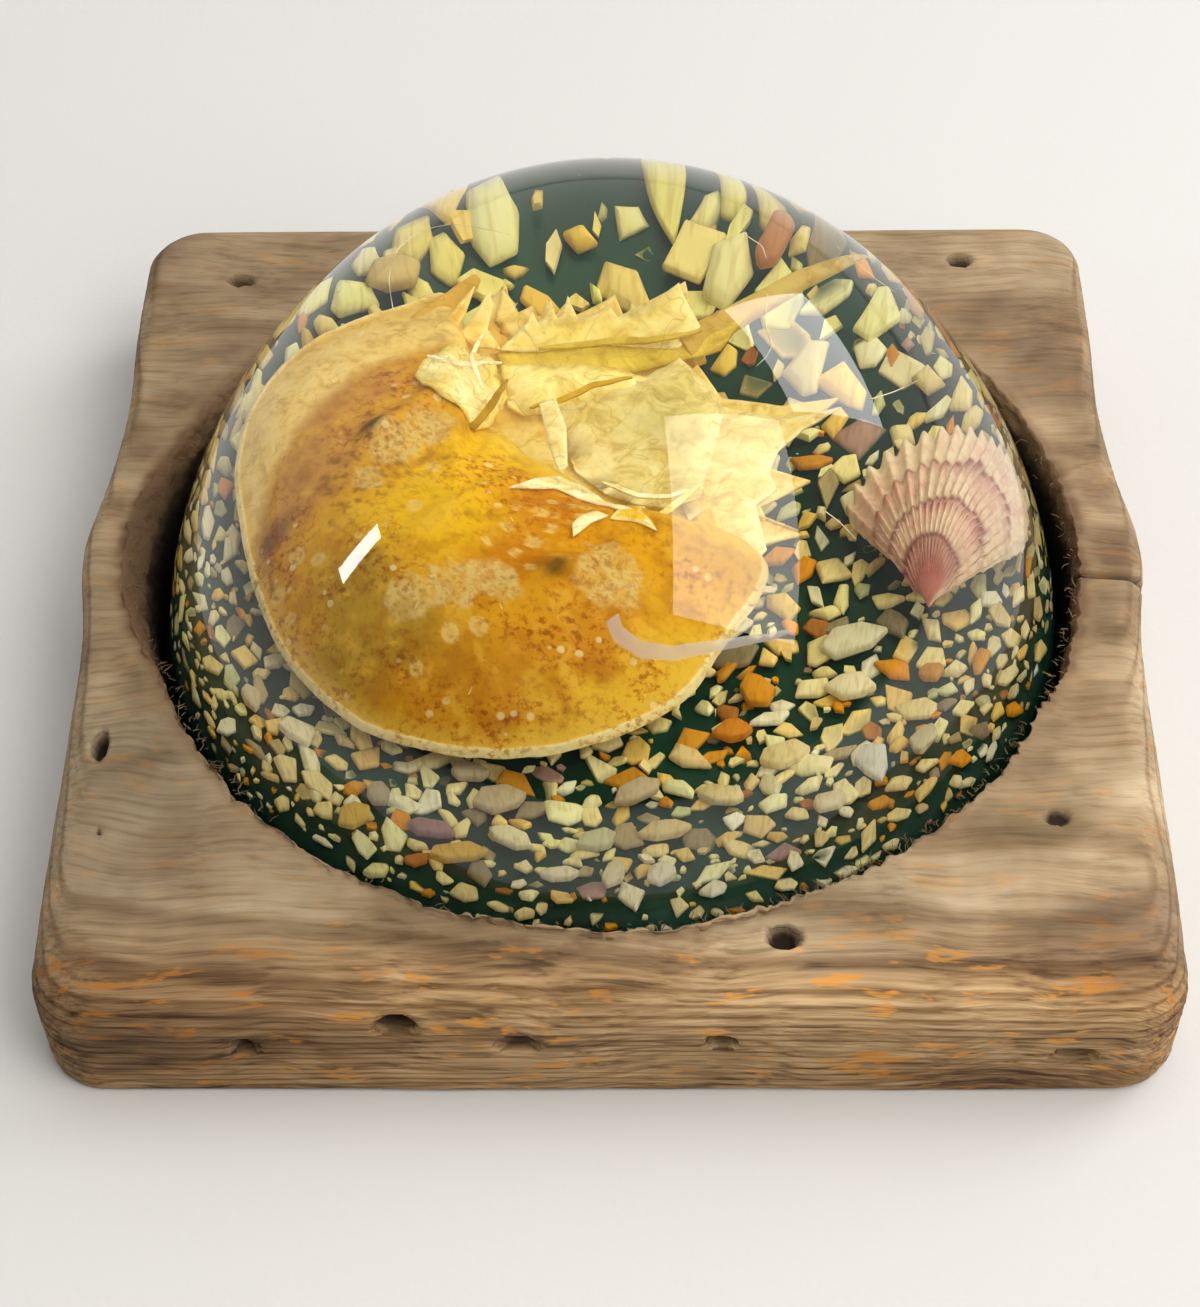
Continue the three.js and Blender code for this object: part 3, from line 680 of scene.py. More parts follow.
def scatter(draw, taken, count, small, large):
    """Throws discs on the backing until count of them lie clear of all before them."""
    placed = []
    tries = 0
    while len(placed) < count and tries < count * 60:
        tries += 1
        size = draw.uniform(small, large)
        reach = CHIP_LIMIT * math.sqrt(draw.random())
        angle = draw.uniform(0, 2 * math.pi)
        if reach > CHIP_LIMIT - size * 0.45:
            continue
        x = reach * math.cos(angle)
        y = DOME_Y + reach * math.sin(angle)
        near = np.array(taken)
        gap = np.hypot(near[:, 0] - x, near[:, 1] - y) - CHIP_SPACING * (near[:, 2] + size)
        if gap.min() < 0:
            continue
        taken.append((x, y, size))
        placed.append((x, y, size))
    return placed


def add_depth(obj, points):
    """How far each point stands above the green resin, in millimetres."""
    reach = np.hypot(points[:, 0], points[:, 1] - DOME_Y)
    add_value(obj, "above", points[:, 2] - backing_height(reach))


def crushed_shell():
    """The small fragments, most of them flat on the green resin and some half sunk in it."""
    draw = random.Random(4)
    taken = []
    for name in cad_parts:
        if name.startswith("shell_chip_") and name != "shell_chip_crust":
            low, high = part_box(name)
            centre = (low + high) / 2 / MM
            taken.append((centre.x, centre.y, 0.7 * max((high - low).x, (high - low).y) / MM))
    pieces = []
    for label, sizes in [
        ("flakes", [(300, 3.2, 4.7), (520, 2.2, 3.2)]),
        ("crumbs", [(600, 1.2, 2.1), (380, 0.6, 1.2)]),
    ]:
        pieces.append(laid_chips(draw, taken, label, sizes))
    # Sea-worn: the larger flakes have blunt edges
    apply_modifier(pieces[0], "BEVEL", width=0.0002, segments=1, limit_method="ANGLE")
    deselect()
    for piece in pieces:
        piece.select_set(True)
    bpy.context.view_layer.objects.active = pieces[0]
    bpy.ops.object.join()
    obj = pieces[0]
    obj.name = "crushed_shell"
    points = points_of(obj)
    reach = np.hypot(points[:, 0], points[:, 1] - DOME_Y)
    limit = dome_radius(points[:, 2]) - 0.25
    pull = np.minimum(1, limit / np.maximum(reach, 0.001))
    points[:, 0] *= pull
    points[:, 1] = DOME_Y + (points[:, 1] - DOME_Y) * pull
    place_points(obj, points)
    add_depth(obj, points)
    choose(obj)
    bpy.ops.object.shade_smooth_by_angle(angle=math.radians(50))
    return obj


def laid_chips(draw, taken, label, sizes):
    """Chips of the sizes given, each laid at its own angle where there is room."""
    points = []
    faces = []
    colours = []
    for count, small, large in sizes:
        for x, y, size in scatter(draw, taken, count, small, large):
            length = size * draw.uniform(1.0, 1.35)
            width = size * draw.uniform(0.6, 0.9)
            thick = min(0.8, 0.18 * size + 0.18)
            shape, shape_faces = chip_shape(draw, length, width, thick)
            buried = draw.uniform(0.3, 0.75) * thick if draw.random() < 0.3 else draw.uniform(-0.5, 0.15)
            tilt = math.radians(draw.gauss(0, 12))
            z = float(backing_height(math.hypot(x, y - DOME_Y))) - buried
            moved = set_down(shape, x, y, z, draw.uniform(0, 6.28), tilt, draw.uniform(0, 6.28))
            start = len(points)
            points += list(moved)
            faces += [tuple(start + i for i in f) for f in shape_faces]
            # Those at the back are the more golden ones
            gold = float(smoothstep(6, 38, np.array(y)))
            tone = np.array(linear(pick_colour(draw))[:3]) * draw.uniform(0.85, 1.12)
            tone = tone * (1 + gold * np.array([0.12, 0.02, -0.3])) * [1.06, 1.04, 0.9]
            colours += [tone] * len(shape)
    obj = mesh_piece(label, np.array(points), faces)
    add_colour(obj, "tint", np.clip(colours, 0, 0.95))
    return obj


def broken_shell():
    """Broken bivalve shell: matte and chalky with faint growth lines, greened where the resin covers it."""
    material, tree = new_material("broken_sea_shell")
    place = node(tree, "ShaderNodeTexCoord").outputs["Object"]
    tint = node(tree, "ShaderNodeAttribute", attribute_name="tint").outputs["Color"]
    lines_map = node(tree, "ShaderNodeMapping", {"Vector": place},
                     {"Rotation": (0.4, 0.3, 0.8), "Scale": (2600, 500, 900)})
    lines = node(tree, "ShaderNodeTexNoise", {"Vector": lines_map.outputs[0]},
                 {"Scale": 1.0, "Detail": 1.5}).outputs["Fac"]
    shade = ramp(tree, lines, [(0.3, "#DCCCA8"), (0.5, "#FFFAF0"), (0.72, "#FFFFFF")])
    colour = node(tree, "ShaderNodeMix", {6: tint, 7: shade}, {0: 0.6}, data_type="RGBA",
                  blend_type="MULTIPLY").outputs[2]
    above = node(tree, "ShaderNodeAttribute", attribute_name="above").outputs["Fac"]
    under = node(tree, "ShaderNodeMapRange", {"Value": above},
                 {"From Min": 0.0, "From Max": 0.32, "To Min": 0.85, "To Max": 0.0}).outputs[0]
    colour = node(tree, "ShaderNodeMix", {0: under, 6: colour}, {7: linear("#24523C")},
                  data_type="RGBA").outputs[2]
    shader = node(tree, "ShaderNodeBsdfPrincipled", {"Base Color": colour},
                  {"Roughness": 0.5, "Specular IOR Level": 0.1})
    node(tree, "ShaderNodeOutputMaterial", {"Surface": shader.outputs[0]})
    return material


shell_stuff = broken_shell()
crust = crushed_shell()
crust.data.materials.append(shell_stuff)
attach(crust, "root")
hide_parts("shell_chip_crust")

# Colours of the thirty largest fragments, in the order of their numbers
LARGE_COLOURS = [
    "#DDBB62", "#DCB450", "#A08087", "#EFE6BE", "#C4B496", "#F0E8CC", "#E2D9B6", "#ECE7D4",
    "#DCC998", "#B0A58E", "#D0D0A8", "#E09A28", "#D98A28", "#F0DFAA", "#F3E9C6", "#E3E0C4",
    "#E0E1D8", "#E8D59E", "#F6ECCC", "#D3C59E", "#D5CAA2", "#CC9240", "#EADDB6", "#CABA9C",
    "#BBAF94", "#DDA54E", "#CE9060", "#DCC484", "#E6D8A6", "#DCCEB0",
]
for number, hex_colour in enumerate(LARGE_COLOURS, start=1):
    name = f"shell_chip_{number:02d}"
    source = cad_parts[name]
    flake = source.copy()
    flake.data = source.data.copy()
    flake.name = f"shell_flake_{number:02d}"
    flake.parent = None
    for key in list(flake.keys()):
        del flake[key]
    bpy.context.scene.collection.objects.link(flake)
    flake.data.materials.clear()
    choose(flake)
    bpy.ops.object.mode_set(mode="EDIT")
    bpy.ops.mesh.select_all(action="SELECT")
    bpy.ops.mesh.remove_doubles(threshold=0.00002)
    bpy.ops.mesh.tris_convert_to_quads()
    bpy.ops.object.mode_set(mode="OBJECT")
    apply_modifier(flake, "BEVEL", width=0.00028, segments=2, limit_method="ANGLE")
    corners = points_of(flake)
    middle = corners.mean(0)
    spread = np.hypot(corners[:, 0] - middle[0], corners[:, 1] - middle[1])
    corners[:, 2] -= 0.35 * (spread / spread.max()) ** 2 * (corners[:, 2] > middle[2])
    corners[:, 2] -= 0.2
    place_points(flake, corners)
    bpy.ops.object.shade_smooth_by_angle(angle=math.radians(35))
    add_colour(flake, "tint", [linear(hex_colour)[:3]] * len(flake.data.vertices))
    add_depth(flake, points_of(flake))
    flake.data.materials.append(shell_stuff)
    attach(flake, "root")
    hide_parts(name)


# Horseshoe crab moult


CRAB_ORIGIN = np.array([-11.2, -3.4])
REARWARD = np.array([0.8, 0.6])
LEFTWARD = np.array([-0.6, 0.8])
SHIELD_RIM = 18.7

# Reach of the head shield's edge from 2 mm ahead of its middle, by the angle from the tail's way
SHIELD_REACH = [
    (0, 12.6), (20, 11.9), (36, 14), (42, 17.5), (46.6, 27.8), (54, 26), (63, 25.2), (75, 24.8), (89, 24.4),
    (98, 24), (111, 22.3), (124, 20.2), (141, 19), (153, 18.8), (172, 19.7), (184, 20.5), (196, 21.3),
    (206, 21.8), (222, 22), (236, 22.4), (254, 23.2), (274, 23.9), (287, 24.3), (300, 23.6),
    (311, 24), (322.6, 26), (328, 22.4), (332, 18), (337, 15), (348, 13.2),
]

# The abdomen's edge from above: roots and tips of its spines, and the notch for the tail
ABDOMEN_EDGE = [
    (9, 17), (14, 17.2), (19.3, 18.3), (17, 16.5), (19.9, 16.2), (19.6, 15.2), (20.9, 16), (20.5, 14.8),
    (22, 15.2), (21.7, 14), (24.6, 13.8), (24.2, 12.4), (28.6, 11.9), (27.6, 9.3), (26, 8.4), (25.5, 2.6),
    (28.4, -0.6), (32, -2.7), (26.5, -3.6), (24.6, -5.4), (26.4, -8.4), (21.9, -8.4), (21.4, -10.2),
    (23, -13.1), (19, -11.8), (17, -11.8), (14, -13.5), (8, -13),
]


def crab_to_world(u, v, z):
    """From the animal's own axes (u to its tail, v to its left in the photo) to the block's."""
    x = CRAB_ORIGIN[0] + u * REARWARD[0] + v * LEFTWARD[0]
    y = CRAB_ORIGIN[1] + u * REARWARD[1] + v * LEFTWARD[1]
    return np.stack([x, y, z], axis=1)


def blob(u, v, cu, cv, ru, rv=None):
    rv = rv or ru
    return np.exp(-((u - cu) / ru) ** 2 - ((v - cv) / rv) ** 2)


def blend_colours(base, mask, colour):
    return base * (1 - mask[:, None]) + np.array(linear(colour)[:3])[None] * mask[:, None]


def paint_film(obj, tone):
    """The colours of a thin piece, with no crust on it."""
    add_colour(obj, "tint", tone)
    add_value(obj, "scale", np.zeros(len(tone)))
    add_value(obj, "thin", np.ones(len(tone)))
    return obj


def shield_height(u, v, share, rear):
    """Height of the head shield's back: a vault with a keel, eye ridges and a raised hinge behind."""
    vault = np.clip(1 - share ** 2.15, 0, 1) ** 0.78
    lift = 4.6 * rear
    z = SHIELD_RIM + 0.3 + lift + (10.3 - lift) * vault
    z = z + 0.55 * blob(u, v, -3, 0, 9, 0.9)
    for side, eye in ((1, (-1.0, 10.9)), (-1, (1.0, -9.9))):
        ridge = np.exp(-((v - side * (10.4 + 0.1 * u)) / 1.0) ** 2) * np.exp(-((u - 2) / 7) ** 4)
        z = z + 0.75 * ridge
        z = z + 0.7 * blob(u, v, eye[0], eye[1], 1.5, 1.0)
    # Shallow troughs on each side of the keel
    return z - 0.5 * blob(u, v, 1, 5.5, 7, 2.2) - 0.5 * blob(u, v, 1, -5.5, 7, 2.2)


def rear_part(bearing, share):
    signed = (bearing + 180) % 360 - 180
    return smoothstep(46, 30, np.abs(signed)) * smoothstep(0.2, 0.9, share)


def over_shield(u, v):
    """Height of the shield under points of the film, or a low value beside it."""
    bearing = np.degrees(np.arctan2(v, u + 2))
    share = np.hypot(u + 2, v) / read_round(SHIELD_REACH, bearing)
    height = shield_height(u, v, np.minimum(share, 1), rear_part(bearing, share))
    return np.where(share < 1.02, height, 0)


def head_shield():
    turns, steps = 420, 84
    degrees = np.arange(turns) * 360 / turns
    reach = read_round(SHIELD_REACH, degrees)
    kernel = np.exp(-(np.arange(-6, 7) / 2.6) ** 2)
    kernel /= kernel.sum()
    reach = np.convolve(np.concatenate([reach[-6:], reach, reach[:6]]), kernel, "valid")
    shares = np.sin(np.linspace(0, 1, steps) * math.pi / 2)
    shares[0] = 0.004
    angle, share = np.meshgrid(np.radians(degrees), shares, indexing="xy")
    full = np.tile(reach, (steps, 1))
    u = (-2 + full * share * np.cos(angle)).ravel()
    v = (full * share * np.sin(angle)).ravel()
    share = share.ravel()
    rear = rear_part(np.degrees(angle).ravel(), share)
    z = shield_height(u, v, share, rear)
    # A rolled lip along the edge
    z = z + 0.4 * np.exp(-((share - 0.988) / 0.012) ** 2) * (1 - rear)
    flat = np.stack([u, v, np.zeros_like(u)], axis=1)
    z = z + 0.22 * rough(flat, 5.0, 11) + 0.07 * rough(flat, 1.3, 12)
    points = crab_to_world(u, v, z)
    faces = []
    for j in range(steps - 1):
        for i in range(turns):
            k = (i + 1) % turns
            faces.append((j * turns + i, (j + 1) * turns + i, (j + 1) * turns + k, j * turns + k))
    faces.append(tuple(range(turns)))
    obj = mesh_piece("head_shield", points, faces)
    paint_shield(obj, u, v, share, rear)
    return obj


def paint_shield(obj, u, v, share, rear):
    """Amber horn, yellow by the keel, browner at the left, with pale crusts of scale and dark eye spots."""
    flat = np.stack([u, v, np.zeros_like(u)], axis=1)
    cloud = rough(flat, 6.0, 21)
    fine = rough(flat, 1.4, 22)
    colour = np.tile(np.array(linear("#DCA210")[:3]), (len(u), 1))
    zones = [
        ("#EEBE0C", 0.95, [(-2.5, -0.6, 4, 4), (4, 3.6, 4, 3.5), (8, 3.8, 4, 4), (-1.1, 3.2, 4, 4),
                           (-7, 2, 4, 3)]),
        ("#E8BC34", 0.9, [(-3.3, -22.3, 6, 3), (-8.2, -21.5, 5, 3), (6, -21, 7, 3)]),
        ("#C8780A", 0.75, [(5.2, -4.3, 3.5, 3.5), (-0.8, -7.4, 4, 3)]),
        ("#C4800E", 0.7, [(-9.9, -16.4, 6, 4), (-12.6, -12.5, 4, 4), (0.6, -16.2, 5, 3.5),
                          (-16.8, -10.6, 4, 4)]),
        ("#A88A28", 0.75, [(-18, -4.2, 4, 4), (-14.4, -6, 4, 4), (-13.9, -0.6, 3.5, 4)]),
        ("#CE9448", 0.8, [(-8.7, 12.6, 6, 3.5), (-0.6, 16, 6, 3)]),
    ]
    for hex_colour, strength, blobs in zones:
        mask = np.zeros(len(u))
        for cu, cv, ru, rv in blobs:
            mask = np.maximum(mask, blob(u + 1.2 * cloud, v + 1.0 * fine, cu, cv, ru, rv))
        colour = blend_colours(colour, strength * np.clip(1.5 * mask, 0, 1), hex_colour)
    colour = blend_colours(colour, 0.4 * smoothstep(0.25, 0.8, fine), "#A8640C")
    colour = blend_colours(colour, 0.45 * smoothstep(0.2, 0.8, -fine), "#E8B83C")
    speckle = smoothstep(0.25, 0.5, rough(flat, 0.6, 23)) * np.clip(1.4 * blob(u, v, -5, 8, 6, 4), 0, 1)
    colour = blend_colours(colour, 0.6 * speckle, "#7A4E10")
    crust = np.zeros(len(u))
    for cu, cv, size in ((4.6, -12.6, 3.2), (-4.3, -8.3, 2.4), (-7.6, -6.6, 2.4), (-11.6, -4.9, 2.4),
                         (-1.4, 8.8, 2.6), (2.6, 8.4, 2.2), (-5.5, 7.2, 1.4)):
        crust = np.maximum(crust, blob(u, v, cu, cv, size))
    patch = smoothstep(0.33, 0.5, crust + 0.16 * rough(flat, 1.0, 31))
    lace = 0.5 + 0.5 * smoothstep(-0.15, 0.25, rough(flat, 0.7, 32))
    colour = blend_colours(colour, 0.85 * patch * lace, "#DCC07E")
    dots = [
        (-14.8, 7.1, 0.9), (-14.1, 4.9, 0.7), (-18.3, 6.3, 0.8), (-19.5, 3.3, 0.6),
        (-15.1, -10.2, 0.7), (-10.8, -9.9, 0.9), (-8.4, -11, 0.9), (0.3, -4.3, 0.5),
        (3.7, -4.5, 0.6), (5.6, -3.7, 0.5), (1.1, -6.8, 0.8), (-0.9, -6.9, 0.6),
        (3.3, -6.3, 0.6), (-1.1, -9.2, 0.5), (-4.9, -6.1, 0.5), (6.7, -5, 0.5),
        (7.4, -5.8, 0.5), (-0.3, 4.5, 0.7), (-4.6, 2, 0.7), (4.6, -5.4, 0.4),
        (2.2, -3.2, 0.4), (-2.2, -4.6, 0.4), (6.2, -6.6, 0.5),
    ]
    for cu, cv, size in dots:
        away = np.hypot(u - cu, v - cv)
        hollow = 0.55 + 0.45 * smoothstep(size * 0.3, size * 0.7, away)
        ring = smoothstep(size * 1.05, size * 0.85, away) * hollow
        colour = blend_colours(colour, 0.8 * ring, "#E6C67A")
    for eu, ev in ((0.6, -10.5), (-1.3, 11.2)):
        colour = blend_colours(colour, 0.85 * np.clip(1.4 * blob(u, v, eu, ev, 1.2, 0.6), 0, 1), "#5E4410")
    colour = blend_colours(colour, 0.75 * np.clip(1.4 * blob(u, v, -14.4, 10.8, 2.4, 1.1), 0, 1), "#7A4632")
    colour = blend_colours(colour, 0.92 * smoothstep(16.4, 18.4, v + 0.3 * fine + 0.02 * u * u), "#F2D58E")
    colour = blend_colours(colour, 0.85 * rear * smoothstep(0.6, 0.95, share), "#ECC850")
    colour = blend_colours(colour, 0.6 * smoothstep(0.90, 0.97, share) * (1 - rear), "#EBC24C")
    colour = blend_colours(colour, 0.9 * smoothstep(0.975, 0.985, share) * (1 - rear), "#FAEBB8")
    add_colour(obj, "tint", colour)
    add_value(obj, "scale", patch)
    add_value(obj, "thin", smoothstep(16.0, 18.2, v + 0.02 * u * u))


def abdomen():
    edge = []
    corners = np.array(ABDOMEN_EDGE, dtype=float)
    for here, there in zip(corners, np.roll(corners, -1, axis=0)):
        count = max(2, int(np.hypot(*(there - here)) / 0.35))
        for share in np.arange(count) / count:
            edge.append(here + (there - here) * share)
    edge = np.array(edge)
    middle = np.array([15.5, 2.0])
    steps = 46
    shares = np.linspace(0.01, 1, steps)
    points = []
    for share in shares:
        points.append(middle + (edge - middle) * share)
    flat = np.concatenate(points)
    u, v = flat.T
    share = np.repeat(shares, len(edge))
    flat3 = np.stack([u, v, np.zeros_like(u)], axis=1)
    z = 19.9 + 1.2 * smoothstep(27, 9, u) * np.clip(1 - ((v - 2) / 18) ** 2, 0, 1)
    z = z + 0.10 * rough(flat3, 2.4, 42)
    z = np.maximum(z, 19.15)
    count = len(edge)
    faces = []
    for j in range(steps - 1):
        for i in range(count):
            k = (i + 1) % count
            faces.append((j * count + i, j * count + k, (j + 1) * count + k, (j + 1) * count + i))
    faces.append(tuple(range(count - 1, -1, -1)))
    obj = mesh_piece("abdomen", crab_to_world(u, v, z), faces)
    colour = np.tile(np.array(linear("#EED68C")[:3]), (len(u), 1))
    colour = blend_colours(colour, 0.6 * smoothstep(0.0, 0.6, rough(flat3, 3.0, 43)), "#F9EAB4")
    colour = blend_colours(colour, 0.6 * smoothstep(0.2, 0.8, -rough(flat3, 3.2, 44)), "#DDB038")
    colour = blend_colours(colour, 0.7 * smoothstep(0.93, 1.0, share), "#F6E3A6")
    return paint_film(obj, colour)


def film(name, spine, half_width, height, seed, colour, crumple):
    """A torn strip of dried film along a line of (u, v), tapering to both ends."""
    spine = np.array(spine, dtype=float)
    t = np.linspace(0, 1, 40)
    knots = np.linspace(0, 1, len(spine))
    mid = np.stack([np.interp(t, knots, spine[:, 0]), np.interp(t, knots, spine[:, 1])], axis=1)
    run = np.gradient(mid, axis=0)
    run /= np.linalg.norm(run, axis=1)[:, None]
    side = np.stack([-run[:, 1], run[:, 0]], axis=1)
    across = np.linspace(-1, 1, 13)
    width = half_width * (0.25 + 0.75 * np.sin(math.pi * t) ** 0.7)
    grid = mid[:, None, :] + side[:, None, :] * (width[:, None] * across[None])[:, :, None]
    u = grid[:, :, 0].ravel()
    v = grid[:, :, 1].ravel()
    flat = np.stack([u, v, np.zeros_like(u)], axis=1)
    z = height + crumple * rough(flat, 2.0, seed) + 0.5 * crumple * np.abs(rough(flat, 0.9, seed + 3))
    n = len(across)
    faces = [(i * n + j, i * n + j + 1, (i + 1) * n + j + 1, (i + 1) * n + j)
             for i in range(len(t) - 1) for j in range(n - 1)]
    obj = mesh_piece(name, crab_to_world(u, v, z), faces)
    return paint_film(obj, np.tile(np.array(linear(colour)[:3]), (len(u), 1)))


# Sheets of torn dried film: name, outline in (u, v), height, crown, colour, colour of its painted edge
# highlight and pale mottles, seed of its wrinkles
SHEETS = [
    ("upper_strip", [
        (15.3, 14.2), (17.5, 14.7), (18.1, 14.8), (19.1, 15.4), (18.8, 14.4), (19.3, 14.4), (20.6, 15.3),
        (20.0, 13.9), (20.4, 13.9), (21.6, 14.8), (21.1, 13.3), (22.1, 12.8), (23.3, 12.7), (23.2, 11.6),
        (25.2, 11.1), (26.5, 11.2), (27.8, 11.3), (27.5, 10.2), (27.1, 7.7), (25.0, 7.2), (22.9, 9.1),
        (20.7, 10.9), (17.5, 12.6),
    ], 21.2, 0.5, "#F4E090", "#FBF0C0", 81),
    ("strip_spikes", [
        (13.8, 16.5), (17.6, 17.8), (17.0, 16.8), (15.6, 15.8), (15.2, 14.0), (14.0, 15.1),
    ], 21.6, 0.3, "#F0D478", "#FAEBB0", 92),
    ("shield_spike", [
        (9.6, 17.1), (13.3, 17.6), (16.6, 18.2), (14.8, 17.1), (11.8, 16.1), (9.3, 15.0),
    ], 22.5, 0.4, "#E6BC50", "#F6DE94", 93),
    # Painted shadow: a darker olive-yellow sheet under the upper strip's lower edge, its edge darker still
    ("shadow_strip_under_upper", [
        (15.0, 14.3), (17.9, 13.0), (21.6, 10.9), (25.3, 7.6), (28.3, 7.0), (30.7, 7.1), (27.3, 5.5),
        (24.5, 6.4), (20.1, 8.3), (16.9, 10.1), (14.1, 11.3),
    ], 20.9, 0.3, "#E2CB5C", "#D2B848", 82),
    ("crumple", [
        (5.9, 13.4), (7.7, 14.3), (10.3, 14.2), (12.4, 13.1), (12.6, 11.8), (11.8, 10.3), (11.3, 8.8),
        (9.2, 7.8), (6.5, 6.8), (6.0, 8.2), (5.4, 9.9), (5.1, 11.8),
    ], 24.6, 0.9, "#FCF3C6", "#EFD468", 83),
    ("bright_band", [
        (14.4, 13.1), (17.6, 11.0), (20.8, 8.1), (21.8, 6.2), (20.6, 5.9), (17.8, 7.0), (14.8, 7.5),
        (12.8, 8.7), (12.5, 10.1),
    ], 21.4, 0.6, "#FBEFB0", "#EED67C", 84),
    ("central_sheet", [
        (15.2, 8.3), (18.3, 7.8), (21.9, 6.5), (24.6, 6.4), (24.8, 3.5), (24.5, 0.6), (21.2, -2.8),
        (18.2, -5.7), (15.7, -5.1), (13.9, -3.4), (12.8, -0.8), (12.4, 2.2), (13.8, 5.6),
    ], 21.3, 0.5, "#E4D69A", "#F4E8BC", 85),
    ("left_fold", [
        (12.5, 6.6), (13.8, 6.3), (12.6, 3.5), (10.3, 0.4), (9.4, 0.3), (10.5, 3.0),
    ], 25.2, 0.4, "#EBDCAA", "#FCF4D4", 86),
    ("tent_flap", [
        (3.2, -1.0), (6.2, -0.7), (8.4, -0.9), (9.3, -2.4), (9.7, -5.8), (10.5, -8.3), (10.8, -10.2),
        (9.8, -8.6), (8.9, -6.2), (8.0, -4.2), (7.1, -2.2), (5.4, -1.7),
    ], 26.2, 0.2, "#FAEFC4", "#FFF9E2", 87),
    ("small_flap", [
        (4.2, -8.2), (5.0, -7.0), (6.1, -6.7), (7.6, -6.9), (8.1, -7.8), (6.4, -7.7), (5.3, -8.0),
    ], 26.6, 0.2, "#F8ECC4", "#FFF6DA", 88),
    ("spike_fold", [
        (8.0, -8.1), (9.9, -7.2), (12.2, -7.3), (10.9, -8.4), (10.9, -10.7), (9.8, -9.3),
    ], 25.4, 0.3, "#ECC03C", "#FAEAB0", 89),
    ("right_film", [
        (17.3, -4.1), (21.6, -0.6), (24.7, 1.2), (26.1, -0.8), (27.7, -2.7), (31.4, -4.4), (28.1, -4.4),
        (25.6, -5.1), (23.9, -6.5), (23.5, -8.3), (21.3, -8.8), (19.3, -13.6), (16.9, -14.6), (16.3, -11.6),
        (16.3, -7.0),
    ], 20.9, 0.4, "#F2DC98", "#FAEFC8", 90),
    ("lower_sheet", [
        (11.1, -3.9), (12.0, -7.6), (14.6, -8.2), (17.9, -7.8), (16.6, -12.8), (14.2, -14.6), (12.9, -13.4),
        (12.6, -11.2), (11.8, -9.4),
    ], 22.2, 0.6, "#EEC658", "#F6E2A0", 91),
]


def sheet(name, outline, height, crown, colour, edge_highlight_and_mottle_colour, seed):
    """A thin torn sheet inside an outline, crowned and lightly wrinkled."""
    corners = np.array(outline, dtype=float)
    edge = []
    for here, there in zip(corners, np.roll(corners, -1, axis=0)):
        count = max(2, int(np.hypot(*(there - here)) / 0.7))
        edge += [here + (there - here) * share for share in np.arange(count) / count]
    edge = np.array(edge)
    obj = mesh_piece(name, np.column_stack([edge, np.zeros(len(edge))]), [tuple(range(len(edge)))])
    choose(obj)
    bpy.ops.object.mode_set(mode="EDIT")
    bpy.ops.mesh.select_all(action="SELECT")
    bpy.ops.mesh.quads_convert_to_tris(ngon_method="BEAUTY")
    bpy.ops.mesh.subdivide(number_cuts=3)
    bpy.ops.object.mode_set(mode="OBJECT")
    u, v = points_of(obj)[:, :2].T
    flat = np.stack([u, v, np.zeros_like(u)], axis=1)
    inside = np.full(len(u), 99.0)
    for here, there in zip(corners, np.roll(corners, -1, axis=0)):
        run = there - here
        share = np.clip(((u - here[0]) * run[0] + (v - here[1]) * run[1]) / (run @ run), 0, 1)
        inside = np.minimum(inside, np.hypot(u - here[0] - share * run[0], v - here[1] - share * run[1]))
    crumple = 0.9 if name == "crumple" else 0.25
    wrinkle = np.abs(rough(flat, 2.4, seed, 2)) + 0.4 * np.abs(rough(flat, 0.9, seed + 9, 2))
    z = height + crown * smoothstep(0, 2.0, inside) + crumple * (wrinkle - 0.4)
    if height > 24:
        z = np.maximum(z, over_shield(u, v) + 0.3 + 0.3 * crumple * wrinkle)
    place_points(obj, crab_to_world(u, v, z))
    obj.data.polygons.foreach_set("use_smooth", [True] * len(obj.data.polygons))
    tone = np.tile(np.array(linear(colour)[:3]), (len(u), 1))
    tone = blend_colours(tone, 0.5 * smoothstep(0.1, 0.7, rough(flat, 1.8, seed + 3)), edge_highlight_and_mottle_colour)
    # Painted soft shade: darker olive-yellow patches over the sheet
    tone = blend_colours(tone, 0.4 * smoothstep(0.3, 0.7, -rough(flat, 1.5, seed + 5)), "#D8B84C")
    if name == "central_sheet":
        tone = blend_colours(tone, 0.7 * blob(u, v, 19.6, 1.2, 2.6, 3.6), "#C0B682")
        tone = blend_colours(tone, 0.6 * blob(u, v, 14.5, 2.6, 1.6, 3.2), "#F4E8C2")
    # Painted highlight along the sheet's edge
    tone = blend_colours(tone, 0.85 * smoothstep(0.35, 0.08, inside), edge_highlight_and_mottle_colour)
    return paint_film(obj, tone)


